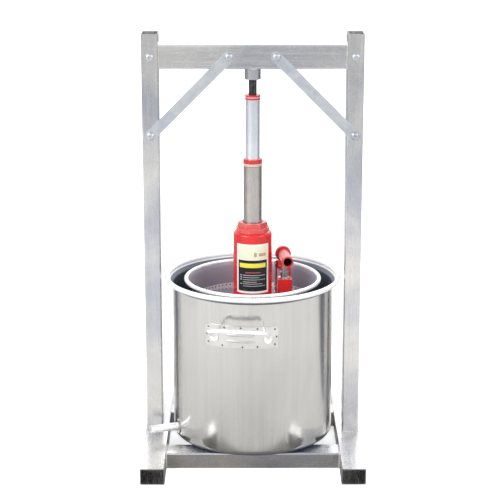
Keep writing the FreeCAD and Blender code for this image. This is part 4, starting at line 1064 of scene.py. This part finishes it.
pressed = bmesh.new()
for turned in BOTH_SIDES:
    for above_ear in RIDGE_LEVELS:
        rows = [ridge_ring(pressed, -1 + 2 * k / RIDGE_STEPS, above_ear, turned)
                for k in range(RIDGE_STEPS + 1)]
        for lower, upper in zip(rows, rows[1:]):
            band(pressed, lower, upper)
        pressed.faces.new(rows[0][::-1])
        pressed.faces.new(rows[-1])
bmesh.ops.recalc_face_normals(pressed, faces=pressed.faces)
ridge_mesh = keep_mesh(pressed, "plate_ridges")
ridge_mesh.materials.append(plate_steel)
put_in_scene("plate_ridges", sharpen(ridge_mesh, 60.0), "pot")
print("ridges:", len(BOTH_SIDES) * len(RIDGE_LEVELS))

# %% [markdown]
# ## Spot welds
# Each handle stands on a thin plate that is spot-welded to the pot. A spot shows as a small dark mark.
# The rule sets one low button on each marked place and turns it to face out.

# %% Mark and weld the spots
spot_steel = metal_finish("spot_weld_steel", (0.26, 0.25, 0.25, 1), (0.16, 0.155, 0.16, 1), (0.30, 0.45),
                          grain_scale=300.0, patch_scale=90.0, edge_amount=0.0, dust=0.0)
SPOTS_MM = [(-68, 17), (68, 17), (-71, 1), (71, 1), (-68, -15), (68, -15), (-38, -19), (4, -20), (34, -19),
            (-34, 19), (0, 20), (34, 19)]
SPOT_RADIUS, SPOT_HEIGHT = 0.0022, 0.14
PLATE_ABOVE_EAR = 0.003


def build_spot_weld():
    """Set a low button on each point and turn it to face away from the pot's axis."""
    tree, given, result = new_rule("spot_welds", [
        ("Spot Radius", "NodeSocketFloat", SPOT_RADIUS), ("Spot Height", "NodeSocketFloat", SPOT_HEIGHT),
        ("Finish", "NodeSocketMaterial", None)])
    points = add_node(tree, "GeometryNodeMeshToPoints", {"Mesh": given.outputs["Geometry"]})
    here = add_node(tree, "GeometryNodeInputPosition").outputs[0]
    outward = add_node(tree, "ShaderNodeVectorMath", {0: here, 1: (1.0, 1.0, 0.0)}, operation="MULTIPLY")
    facing = add_node(tree, "FunctionNodeAlignRotationToVector", {"Vector": outward.outputs[0]}, axis="Z")
    button = add_node(tree, "GeometryNodeMeshIcoSphere", {
        "Radius": given.outputs["Spot Radius"], "Subdivisions": 3})
    low = add_node(tree, "ShaderNodeCombineXYZ", {"X": 1.0, "Y": 1.0, "Z": given.outputs["Spot Height"]})
    buttons = add_node(tree, "GeometryNodeInstanceOnPoints", {
        "Points": points.outputs[0], "Instance": button.outputs["Mesh"],
        "Rotation": facing.outputs[0], "Scale": low.outputs[0]})
    real = add_node(tree, "GeometryNodeRealizeInstances", {"Geometry": buttons.outputs[0]})
    smooth = add_node(tree, "GeometryNodeSetShadeSmooth", {"Geometry": real.outputs[0]})
    end_rule(tree, smooth.outputs[0], given.outputs["Finish"], result)
    return tree


plate_level = EAR_LEVEL + PLATE_ABOVE_EAR
spot_places = [on_pot(x * MM, plate_level + z * MM, PLATE_SKIN, turned)
               for turned in BOTH_SIDES for x, z in SPOTS_MM]
spot_mesh = bpy.data.meshes.new("spot_places")
spot_mesh.from_pydata(spot_places, [], [])
spots = grow("spot_welds", spot_mesh, build_spot_weld(), {
    "Spot Radius": SPOT_RADIUS, "Spot Height": SPOT_HEIGHT, "Finish": spot_steel})
put_in_scene("spot_welds", spots, "pot")
print("spots:", len(spot_places))
